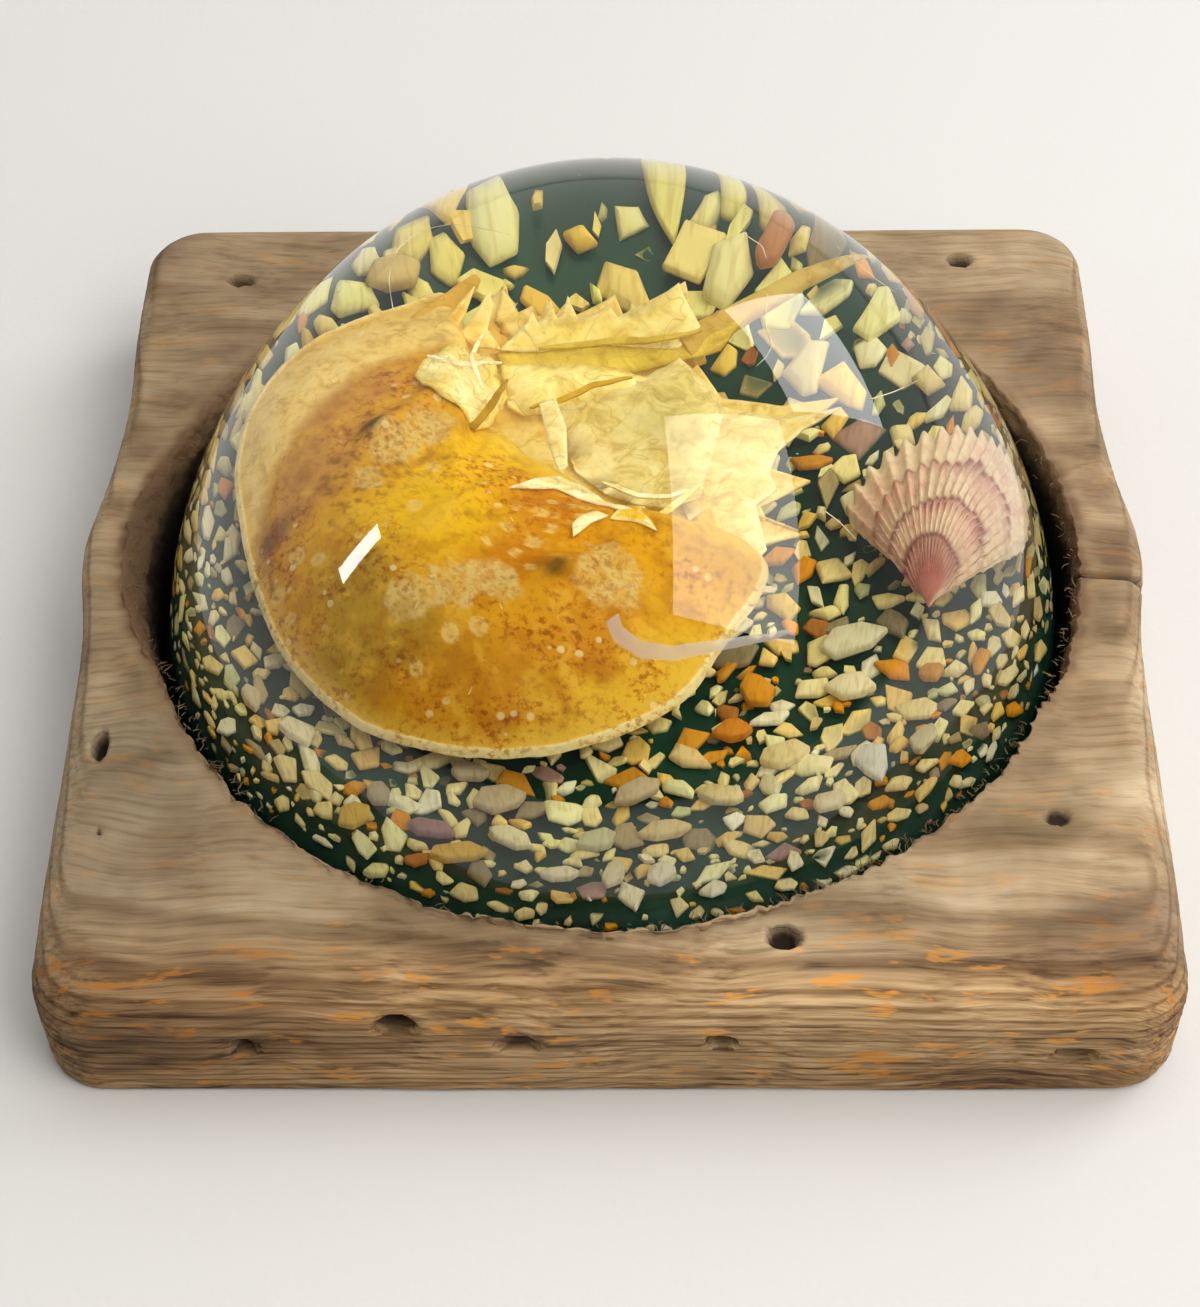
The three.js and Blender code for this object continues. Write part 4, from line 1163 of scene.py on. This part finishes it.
# Strips of film and painted crease lines: name, spine in (u, v), half width, height, noise seed, colour,
# crumple
STRIPS = [
    ("flap_e", [(9, 18.2), (12, 18.6), (15, 18.6), (17.6, 18.9)], 0.8, 21.6, 55, "#D9AE48", 0.3),
    ("flap_g", [(11.2, -6.4), (13, -8.8), (14.6, -11.4)], 0.9, 23.4, 57, "#F0C848", 0.3),
    # Painted highlights: pale lines along fold ridges
    ("highlight_line_a", [(7.9, 14.2), (9.2, 12.0), (11.8, 10.2)], 0.18, 26.9, 61, "#FFFAE4", 0.25),
    ("highlight_line_b", [(12.4, 13.0), (10.2, 11.8), (9.0, 9.0)], 0.16, 27.0, 62, "#FFFAE4", 0.25),
    # Painted shade: dark lines in creases and under sheet edges
    ("shade_line_c", [(5.4, 9.6), (6.3, 7.0), (9.2, 8.0), (11.4, 9.0)], 0.3, 26.5, 63, "#B8921C", 0.2),
    ("shade_line_d", [(13.0, 8.2), (14.9, 7.5), (17.6, 7.1), (20.4, 6.0)], 0.22, 22.9, 64, "#D0A830", 0.15),
    ("shade_line_f", [(17.2, 12.4), (20.8, 10.4), (23.4, 8.6), (26.8, 7.0)], 0.25, 21.9, 66, "#D2B848", 0.15),
    # Painted highlights: pale lines along sheet edges
    ("highlight_line_h", [(12.6, -0.8), (13.9, -3.6), (15.8, -5.3), (18.4, -5.7)],
     0.22, 22.8, 68, "#FEF6D8", 0.15),
    ("highlight_line_k", [(10.4, -8.0), (14.0, -7.4), (17.8, -6.6)], 0.3, 24.0, 71, "#FBE9A8", 0.15),
]


def tail_spine():
    """The tail: a tapering rod from a knob in the abdomen's notch."""
    line = [(25.4, 7.2), (27.5, 7.6), (30, 7.4), (34, 7.0), (37, 6.2), (40.4, 5.5)]
    sizes = [1.3, 1.0, 0.85, 0.7, 0.5, 0.12]
    t = np.linspace(0, 1, 60)
    knots = np.linspace(0, 1, len(line))
    u = np.interp(t, knots, [p[0] for p in line])
    v = np.interp(t, knots, [p[1] for p in line])
    size = np.interp(t, knots, sizes)
    turns = 20
    angle = np.arange(turns) * 2 * math.pi / turns
    uu = (u[:, None] + 0 * angle[None]).ravel()
    vv = (v[:, None] + size[:, None] * np.cos(angle)[None]).ravel()
    zz = (20.4 + 0 * t[:, None] + size[:, None] * 0.9 * np.sin(angle)[None]).ravel()
    faces = [(i * turns + j, i * turns + (j + 1) % turns,
              (i + 1) * turns + (j + 1) % turns, (i + 1) * turns + j)
             for i in range(len(t) - 1) for j in range(turns)]
    faces.append(tuple(range(turns - 1, -1, -1)))
    faces.append(tuple((len(t) - 1) * turns + j for j in range(turns)))
    obj = mesh_piece("tail", crab_to_world(uu, vv, zz), faces)
    tone = np.tile(np.array(linear("#D8BC68")[:3]), (len(uu), 1))
    tone = blend_colours(tone, 0.7 * smoothstep(29.5, 26.5, uu), "#C29A40")
    return paint_film(obj, tone)


def horseshoe_crab():
    shield = head_shield()
    apply_modifier(shield, "SOLIDIFY", thickness=0.0005, offset=-1)
    plate = abdomen()
    apply_modifier(plate, "SOLIDIFY", thickness=0.0003, offset=-1)
    films = [sheet(*row) for row in SHEETS]
    films += [film(*row) for row in STRIPS]
    for strip in films:
        apply_modifier(strip, "SOLIDIFY", thickness=0.0002, offset=0)
    tail = tail_spine()
    deselect()
    for part in [plate, tail] + films:
        part.select_set(True)
    shield.select_set(True)
    bpy.context.view_layer.objects.active = shield
    bpy.ops.object.join()
    shield.name = "horseshoe_crab"
    return shield


def moulted_horn():
    """Cast-off crab shell, a thin film of horn, with painted light: its thin parts glow amber by emission,
    standing in for light that comes through them.
    """
    material, tree = new_material("moulted_crab_horn")
    place = node(tree, "ShaderNodeTexCoord").outputs["Object"]
    tint = node(tree, "ShaderNodeAttribute", attribute_name="tint").outputs["Color"]
    scale = node(tree, "ShaderNodeAttribute", attribute_name="scale").outputs["Fac"]
    # Freckles of about half a millimetre, and a finer grain between them
    freckle = node(tree, "ShaderNodeTexNoise", {"Vector": place},
                   {"Scale": 1300.0, "Detail": 2.0, "Roughness": 0.7}).outputs["Fac"]
    shade = ramp(tree, freckle, [(0.33, "#9A5E18"), (0.41, "#DCA858"), (0.50, "#FFF4D4"), (0.62, "#FFFFFF")])
    thin = node(tree, "ShaderNodeAttribute", attribute_name="thin").outputs["Fac"]
    amount = node(tree, "ShaderNodeMapRange", {"Value": thin}, {"To Min": 0.7, "To Max": 0.16}).outputs[0]
    where = node(tree, "ShaderNodeTexNoise", {"Vector": place},
                 {"Scale": 150.0, "Detail": 1.0}).outputs["Fac"]
    uneven = node(tree, "ShaderNodeMapRange", {"Value": where},
                  {"From Min": 0.38, "From Max": 0.62, "To Min": 0.25, "To Max": 1.0}).outputs[0]
    amount = node(tree, "ShaderNodeMath", {0: amount, 1: uneven}, operation="MULTIPLY").outputs[0]
    colour = node(tree, "ShaderNodeMix", {0: amount, 6: tint, 7: shade}, data_type="RGBA",
                  blend_type="MULTIPLY").outputs[2]
    # Crusts of lime scale are a lace of tiny cells
    cell = node(tree, "ShaderNodeTexVoronoi", {"Vector": place}, {"Scale": 1500.0},
                feature="DISTANCE_TO_EDGE").outputs["Distance"]
    hole = node(tree, "ShaderNodeMapRange", {"Value": cell}, {"From Min": 0.16, "From Max": 0.36}).outputs[0]
    hole = node(tree, "ShaderNodeMath", {0: hole, 1: scale}, operation="MULTIPLY").outputs[0]
    hole = node(tree, "ShaderNodeMath", {0: hole}, {1: 0.45}, operation="MULTIPLY").outputs[0]
    colour = node(tree, "ShaderNodeMix", {0: hole, 6: colour}, {7: linear("#A87420")},
                  data_type="RGBA").outputs[2]
    # Pale rings and dots of lime scale, 0.5 to 1.5 mm across
    cells = node(tree, "ShaderNodeTexVoronoi", {"Vector": place}, {"Scale": 620.0},
                 feature="F1").outputs["Distance"]
    dot = node(tree, "ShaderNodeMapRange", {"Value": cells},
               {"From Min": 0.20, "From Max": 0.27, "To Min": 1.0, "To Max": 0.0}).outputs[0]
    some = node(tree, "ShaderNodeMapRange", {"Value": where}, {"From Min": 0.55, "From Max": 0.62}).outputs[0]
    dots = node(tree, "ShaderNodeMath", {0: dot, 1: some}, operation="MULTIPLY").outputs[0]
    dots = node(tree, "ShaderNodeMath", {0: dots}, {1: 0.6}, operation="MULTIPLY").outputs[0]
    thick = node(tree, "ShaderNodeMath", {1: thin}, {0: 1.0}, operation="SUBTRACT").outputs[0]
    dots = node(tree, "ShaderNodeMath", {0: dots, 1: thick}, operation="MULTIPLY").outputs[0]
    colour = node(tree, "ShaderNodeMix", {0: dots, 6: colour}, {7: linear("#F2DFA8")},
                  data_type="RGBA").outputs[2]
    rough_height = node(tree, "ShaderNodeMath", {0: freckle, 1: scale}, operation="MULTIPLY_ADD").outputs[0]
    bump = node(tree, "ShaderNodeBump", {"Height": rough_height}, {"Strength": 0.5, "Distance": 0.0003})
    # Painted shade in the creases of film creased like dry cellophane: dark hairlines along the folds, and
    # soft darker hollows between paler ridges
    folds = node(tree, "ShaderNodeTexNoise", {"Vector": place},
                 {"Scale": 240.0, "Detail": 2.0, "Roughness": 0.5, "Distortion": 0.4}).outputs["Fac"]
    ridge = node(tree, "ShaderNodeMath", {0: folds}, {1: 0.5}, operation="SUBTRACT").outputs[0]
    ridge = node(tree, "ShaderNodeMath", {0: ridge}, operation="ABSOLUTE").outputs[0]
    crease_shade = node(tree, "ShaderNodeMapRange", {"Value": ridge},
                {"From Max": 0.01, "To Min": 0.38, "To Max": 0.0}).outputs[0]
    crease_shade = node(tree, "ShaderNodeMath", {0: crease_shade, 1: thin}, operation="MULTIPLY").outputs[0]
    colour = node(tree, "ShaderNodeMix", {0: crease_shade, 6: colour}, {7: linear("#A8862C")},
                  data_type="RGBA").outputs[2]
    # Painted soft shade in the hollows between the creases
    veins = node(tree, "ShaderNodeTexNoise", {"Vector": place},
                 {"Scale": 520.0, "Detail": 3.0, "Roughness": 0.6, "Distortion": 0.8}).outputs["Fac"]
    hollow = ramp(tree, veins, [(0.36, "#CDB666"), (0.47, "#F6E8BC"), (0.6, "#FFFFFF")])
    soft = node(tree, "ShaderNodeMath", {0: thin}, {1: 0.55}, operation="MULTIPLY").outputs[0]
    colour = node(tree, "ShaderNodeMix", {0: soft, 6: colour, 7: hollow}, data_type="RGBA",
                  blend_type="MULTIPLY").outputs[2]
    # Painted light: the thin film glows by emission in its own colour, standing in for daylight that comes
    # through it from below
    painted_glow = node(tree, "ShaderNodeMapRange", {"Value": thin}, {"To Min": 0.0, "To Max": 0.14}).outputs[0]
    shader = node(tree, "ShaderNodeBsdfPrincipled",
                  {"Base Color": colour, "Normal": bump.outputs["Normal"], "Emission Color": colour,
                   "Emission Strength": painted_glow},
                  {"Roughness": 0.4, "Specular IOR Level": 0.08})
    node(tree, "ShaderNodeOutputMaterial", {"Surface": shader.outputs[0]})
    return material


crab = horseshoe_crab()
crab.data.materials.clear()
crab.data.materials.append(moulted_horn())
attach(crab, "root")
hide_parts("horseshoe_crab_moult")


# Scallop


def scallop_valve():
    ribs = 19
    half_fan = math.radians(48)
    across, along = 400, 90
    umbo = np.array([28.0, -9.3])
    longest = 20.6
    a = np.linspace(-1, 1, across)
    s = np.linspace(0.0, 1, along) ** 0.85
    aa, ss = np.meshgrid(a, s, indexing="xy")
    aa = aa.ravel()
    ss = ss.ravel()
    angle = aa * half_fan + math.radians(8)
    rib = np.cos(aa * ribs * math.pi)
    reach = longest * (1 - 0.27 * np.abs(aa) ** 3.5) + 0.3 * rib
    r = reach * ss
    x = umbo[0] + r * np.sin(angle)
    y = umbo[1] + r * np.cos(angle)
    arch = np.sin(math.pi * np.minimum(ss, 1) ** 0.72) * (1 - 0.75 * np.abs(aa) ** 2.4)
    growth = 0.05 * np.sin(ss ** 1.3 * 60) * smoothstep(0.1, 0.6, ss)
    # Old growth edges stand as steps, each one scalloped by the ribs and wandering a little
    flat = np.stack([x, y, np.zeros_like(x)], axis=1)
    wander = 0.045 * rough(flat, 4.0, 61) + 0.012 * rib
    step = np.zeros_like(ss)
    for place in (0.27, 0.50, 0.74):
        step = step + 0.34 * smoothstep(place - 0.02, place + 0.012, ss + wander)
    z = 19.4 + 4.2 * arch + (0.34 * rib + growth) * smoothstep(0.02, 0.3, ss) - step + 0.35
    faces = [(j * across + i, j * across + i + 1, (j + 1) * across + i + 1, (j + 1) * across + i)
             for j in range(along - 1) for i in range(across - 1)]
    obj = mesh_piece("scallop_valve", np.stack([x, y, z], axis=1), faces)
    v = ss + wander
    colour = np.tile(np.array(linear("#FAE0C6")[:3]), (len(x), 1))
    colour = blend_colours(colour, 0.6 * smoothstep(-0.3, 0.6, rough(flat, 2.6, 62)), "#EBB0A0")
    # Each step's lip is cream, with a wine-red line in its shade
    for place, strength in ((0.27, 0.95), (0.50, 0.95), (0.74, 0.9)):
        band = smoothstep(place - 0.10, place - 0.01, v) * smoothstep(place + 0.004, place - 0.004, v)
        colour = blend_colours(colour, 0.7 * strength * band, "#CC7C70")
        line = np.exp(-((v - place - 0.004) / 0.018) ** 2)
        colour = blend_colours(colour, strength * line, "#93382F")
        lip = np.exp(-((v - place - 0.05) / 0.022) ** 2)
        colour = blend_colours(colour, 0.7 * strength * lip, "#FBE6C8")
    colour = blend_colours(colour, 0.85 * smoothstep(0.27, 0.16, v), "#C4685E")
    colour = blend_colours(colour, 0.7 * smoothstep(0.86, 0.97, v), "#FAE8CC")
    colour = blend_colours(colour, 0.5 * smoothstep(0.3, -0.7, rib) * smoothstep(0.1, 0.4, ss), "#FBE9D0")
    colour = blend_colours(colour, 0.6 * smoothstep(0.7, 0.95, aa), "#FBE6C6")
    colour = blend_colours(colour, 0.5 * smoothstep(-0.8, -0.95, aa), "#B07868")
    add_colour(obj, "tint", colour)
    apply_modifier(obj, "SOLIDIFY", thickness=0.0007, offset=-1)
    return obj


def scallop_shell():
    """A small scallop: ribbed and chalky, rose bands that wander over cream."""
    material, tree = new_material("scallop_shell_lime")
    place = node(tree, "ShaderNodeTexCoord").outputs["Object"]
    tint = node(tree, "ShaderNodeAttribute", attribute_name="tint").outputs["Color"]
    grain = node(tree, "ShaderNodeTexNoise", {"Vector": place},
                 {"Scale": 1200.0, "Detail": 3.0}).outputs["Fac"]
    shade = ramp(tree, grain, [(0.3, "#D8C4B4"), (0.55, "#FFFFFF")])
    colour = node(tree, "ShaderNodeMix", {6: tint, 7: shade}, {0: 0.5}, data_type="RGBA",
                  blend_type="MULTIPLY").outputs[2]
    bump = node(tree, "ShaderNodeBump", {"Height": grain}, {"Strength": 0.3, "Distance": 0.0001})
    shader = node(tree, "ShaderNodeBsdfPrincipled", {"Base Color": colour, "Normal": bump.outputs["Normal"]},
                  {"Roughness": 0.5, "Specular IOR Level": 0.15})
    node(tree, "ShaderNodeOutputMaterial", {"Surface": shader.outputs[0]})
    return material


scallop = scallop_valve()
scallop.data.materials.append(scallop_shell())
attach(scallop, "root")
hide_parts("scallop_shell")


# Hairs and smear on the dome, lint and splinters at the recess


def thread(line, radius, sides=5):
    """A thin round thread along points in millimetres, smoothed between them."""
    line = np.array(line, dtype=float)
    knots = np.linspace(0, 1, len(line))
    t = np.linspace(0, 1, 6 * len(line))
    path = np.stack([np.interp(t, knots, line[:, i]) for i in range(3)], axis=1)
    for _ in range(3):
        path[1:-1] = (path[:-2] + 2 * path[1:-1] + path[2:]) / 4
    run = np.gradient(path, axis=0)
    run /= np.linalg.norm(run, axis=1)[:, None]
    side = np.cross(run, [0.31, 0.22, 0.92])
    side /= np.linalg.norm(side, axis=1)[:, None]
    other = np.cross(run, side)
    taper = radius * (1 - 0.7 * np.linspace(0, 1, len(t)) ** 3)
    angle = np.arange(sides) * 2 * math.pi / sides
    ring = side[:, None] * np.cos(angle)[None, :, None] + other[:, None] * np.sin(angle)[None, :, None]
    points = (path[:, None] + ring * taper[:, None, None]).reshape(-1, 3)
    n = sides
    faces = [(i * n + j, i * n + (j + 1) % n, (i + 1) * n + (j + 1) % n, (i + 1) * n + j)
             for i in range(len(t) - 1) for j in range(n)]
    faces += [tuple(range(n - 1, -1, -1)), tuple((len(t) - 1) * n + j for j in range(n))]
    return points, faces


def threads(name, lines, material):
    points = []
    faces = []
    for line, radius in lines:
        more, more_faces = thread(line, radius)
        start = len(points)
        points += list(more)
        faces += [tuple(start + i for i in face) for face in more_faces]
    return mesh_piece(name, points, faces, material)


def skin_height(x, y):
    """Height of the dome's skin over a point."""
    heights = np.linspace(DOME_FOOT, DOME_CROWN, 600)
    return float(np.interp(-math.hypot(x, y - DOME_Y), -dome_radius(heights), heights))


def on_skin(line, above):
    return [(x, y, skin_height(x, y) + above) for x, y in line]


def plain(name, colour, roughness, specular):
    material, tree = new_material(name)
    shader = node(tree, "ShaderNodeBsdfPrincipled", None,
                  {"Base Color": linear(colour), "Roughness": roughness, "Specular IOR Level": specular})
    node(tree, "ShaderNodeOutputMaterial", {"Surface": shader.outputs[0]})
    return material


HAIRS = [
    [(-21.9, 0.2), (-22.8, 5.9), (-22.3, 11.4), (-20.0, 13.4), (-16.3, 11.8), (-13.0, 8.7), (-9.9, 6.2)],
    [(16.3, -0.8), (15.9, -4.9), (16.6, -7.1), (16.0, -8.6), (14.9, -10.0)],
    [(26.2, 13.0), (28.5, 11.7), (31.0, 12.1)], [(14.2, 7.9), (16.0, 6.8), (16.4, 4.6)],
    [(21.7, -21.1), (23.2, -21.4), (25.0, -22.1)], [(26.7, -8.2), (29.6, -5.3), (32.6, -1.2)],
]


def stray_hairs():
    draw = random.Random(12)
    lines = [(on_skin(line, 0.05), 0.06) for line in HAIRS]
    # Dust: short flecks of lint, mostly on the side that faces right
    for _ in range(46):
        angle = math.radians(draw.gauss(-20, 70))
        reach = draw.uniform(14, 47)
        x, y = reach * math.cos(angle), DOME_Y + reach * math.sin(angle)
        dx, dy = draw.uniform(-0.5, 0.5), draw.uniform(-0.5, 0.5)
        lines.append((on_skin([(x, y), (x + dx, y + dy)], 0.03), 0.035))
    return threads("stray_hairs", lines, plain("dust_and_pale_hair", "#D8CBA8", 0.6, 0.3))


def smear():
    """A dried smear of glue on the dome, broad at its left end and drawn out to a thread."""
    line = np.array([(0.6, -32.5), (1.1, -33.5), (3.4, -34.5), (6.5, -34.5), (9.2, -33.9), (12.6, -33.0),
                     (16.1, -31.9), (18.1, -31.0)])
    t = np.linspace(0, 1, 50)
    knots = np.linspace(0, 1, len(line))
    path = np.stack([np.interp(t, knots, line[:, 0]), np.interp(t, knots, line[:, 1])], axis=1)
    run = np.gradient(path, axis=0)
    run /= np.linalg.norm(run, axis=1)[:, None]
    side = np.stack([-run[:, 1], run[:, 0]], axis=1)
    width = 0.55 * (1 - t) ** 0.8 + 0.12
    points = []
    for here, out, half in zip(path, side, width):
        for share in (-1, -0.4, 0.4, 1):
            x, y = here + out * half * share
            points.append((x, y, skin_height(x, y) + 0.03 + 0.05 * (1 - share ** 2)))
    faces = [(i * 4 + j, i * 4 + j + 1, (i + 1) * 4 + j + 1, (i + 1) * 4 + j)
             for i in range(len(t) - 1) for j in range(3)]
    material, tree = new_material("dried_glue_smear")
    shader = node(tree, "ShaderNodeBsdfPrincipled", None,
                  {"Base Color": linear("#B9AEA0"), "Roughness": 0.35, "Alpha": 0.55})
    node(tree, "ShaderNodeOutputMaterial", {"Surface": shader.outputs[0]})
    return mesh_piece("glue_smear", points, faces, material)


def rim_splinters():
    """Torn wood fibre and lint in the gap round the dome, thickest at the right and in front."""
    draw = random.Random(31)
    lines = []
    while len(lines) < 620:
        degrees = draw.choice([draw.gauss(-25, 22), draw.gauss(-68, 14), draw.uniform(150, 225),
                               draw.uniform(0, 360)])
        angle = math.radians(degrees)
        rim = float(read_round(RIM_REACH, degrees))
        reach = rim + draw.uniform(-0.6, 0.9)
        height = 15.9 + draw.uniform(-2.2, 0.5) - 1.2 * smoothstep(-40, -59, DOME_Y + reach * math.sin(angle))
        x, y = reach * math.cos(angle), DOME_Y + reach * math.sin(angle)
        long = draw.uniform(0.3, 1.2)
        turn = angle + math.pi + draw.uniform(-1.3, 1.3)
        bend = draw.uniform(-0.4, 0.4)
        end = [x + long * math.cos(turn), y + long * math.sin(turn), height + draw.uniform(-0.4, 0.7)]
        clear = float(dome_radius(end[2])) + 0.15
        away = math.hypot(end[0], end[1] - DOME_Y)
        if away < clear:
            end[0] *= clear / away
            end[1] = DOME_Y + (end[1] - DOME_Y) * clear / away
        middle = [(x + end[0]) / 2 + bend * math.sin(turn), (y + end[1]) / 2, (height + end[2]) / 2 + 0.1]
        lines.append(([(x, y, height), middle, end], draw.uniform(0.03, 0.06)))
    return threads("rim_splinters", lines, plain("torn_wood_fibre", "#7A664C", 0.9, 0.1))


extras = [(stray_hairs(), "clear_resin"), (smear(), "clear_resin"), (rim_splinters(), "weathered_wood")]
for extra, slot_name in extras:
    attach(extra, "root")
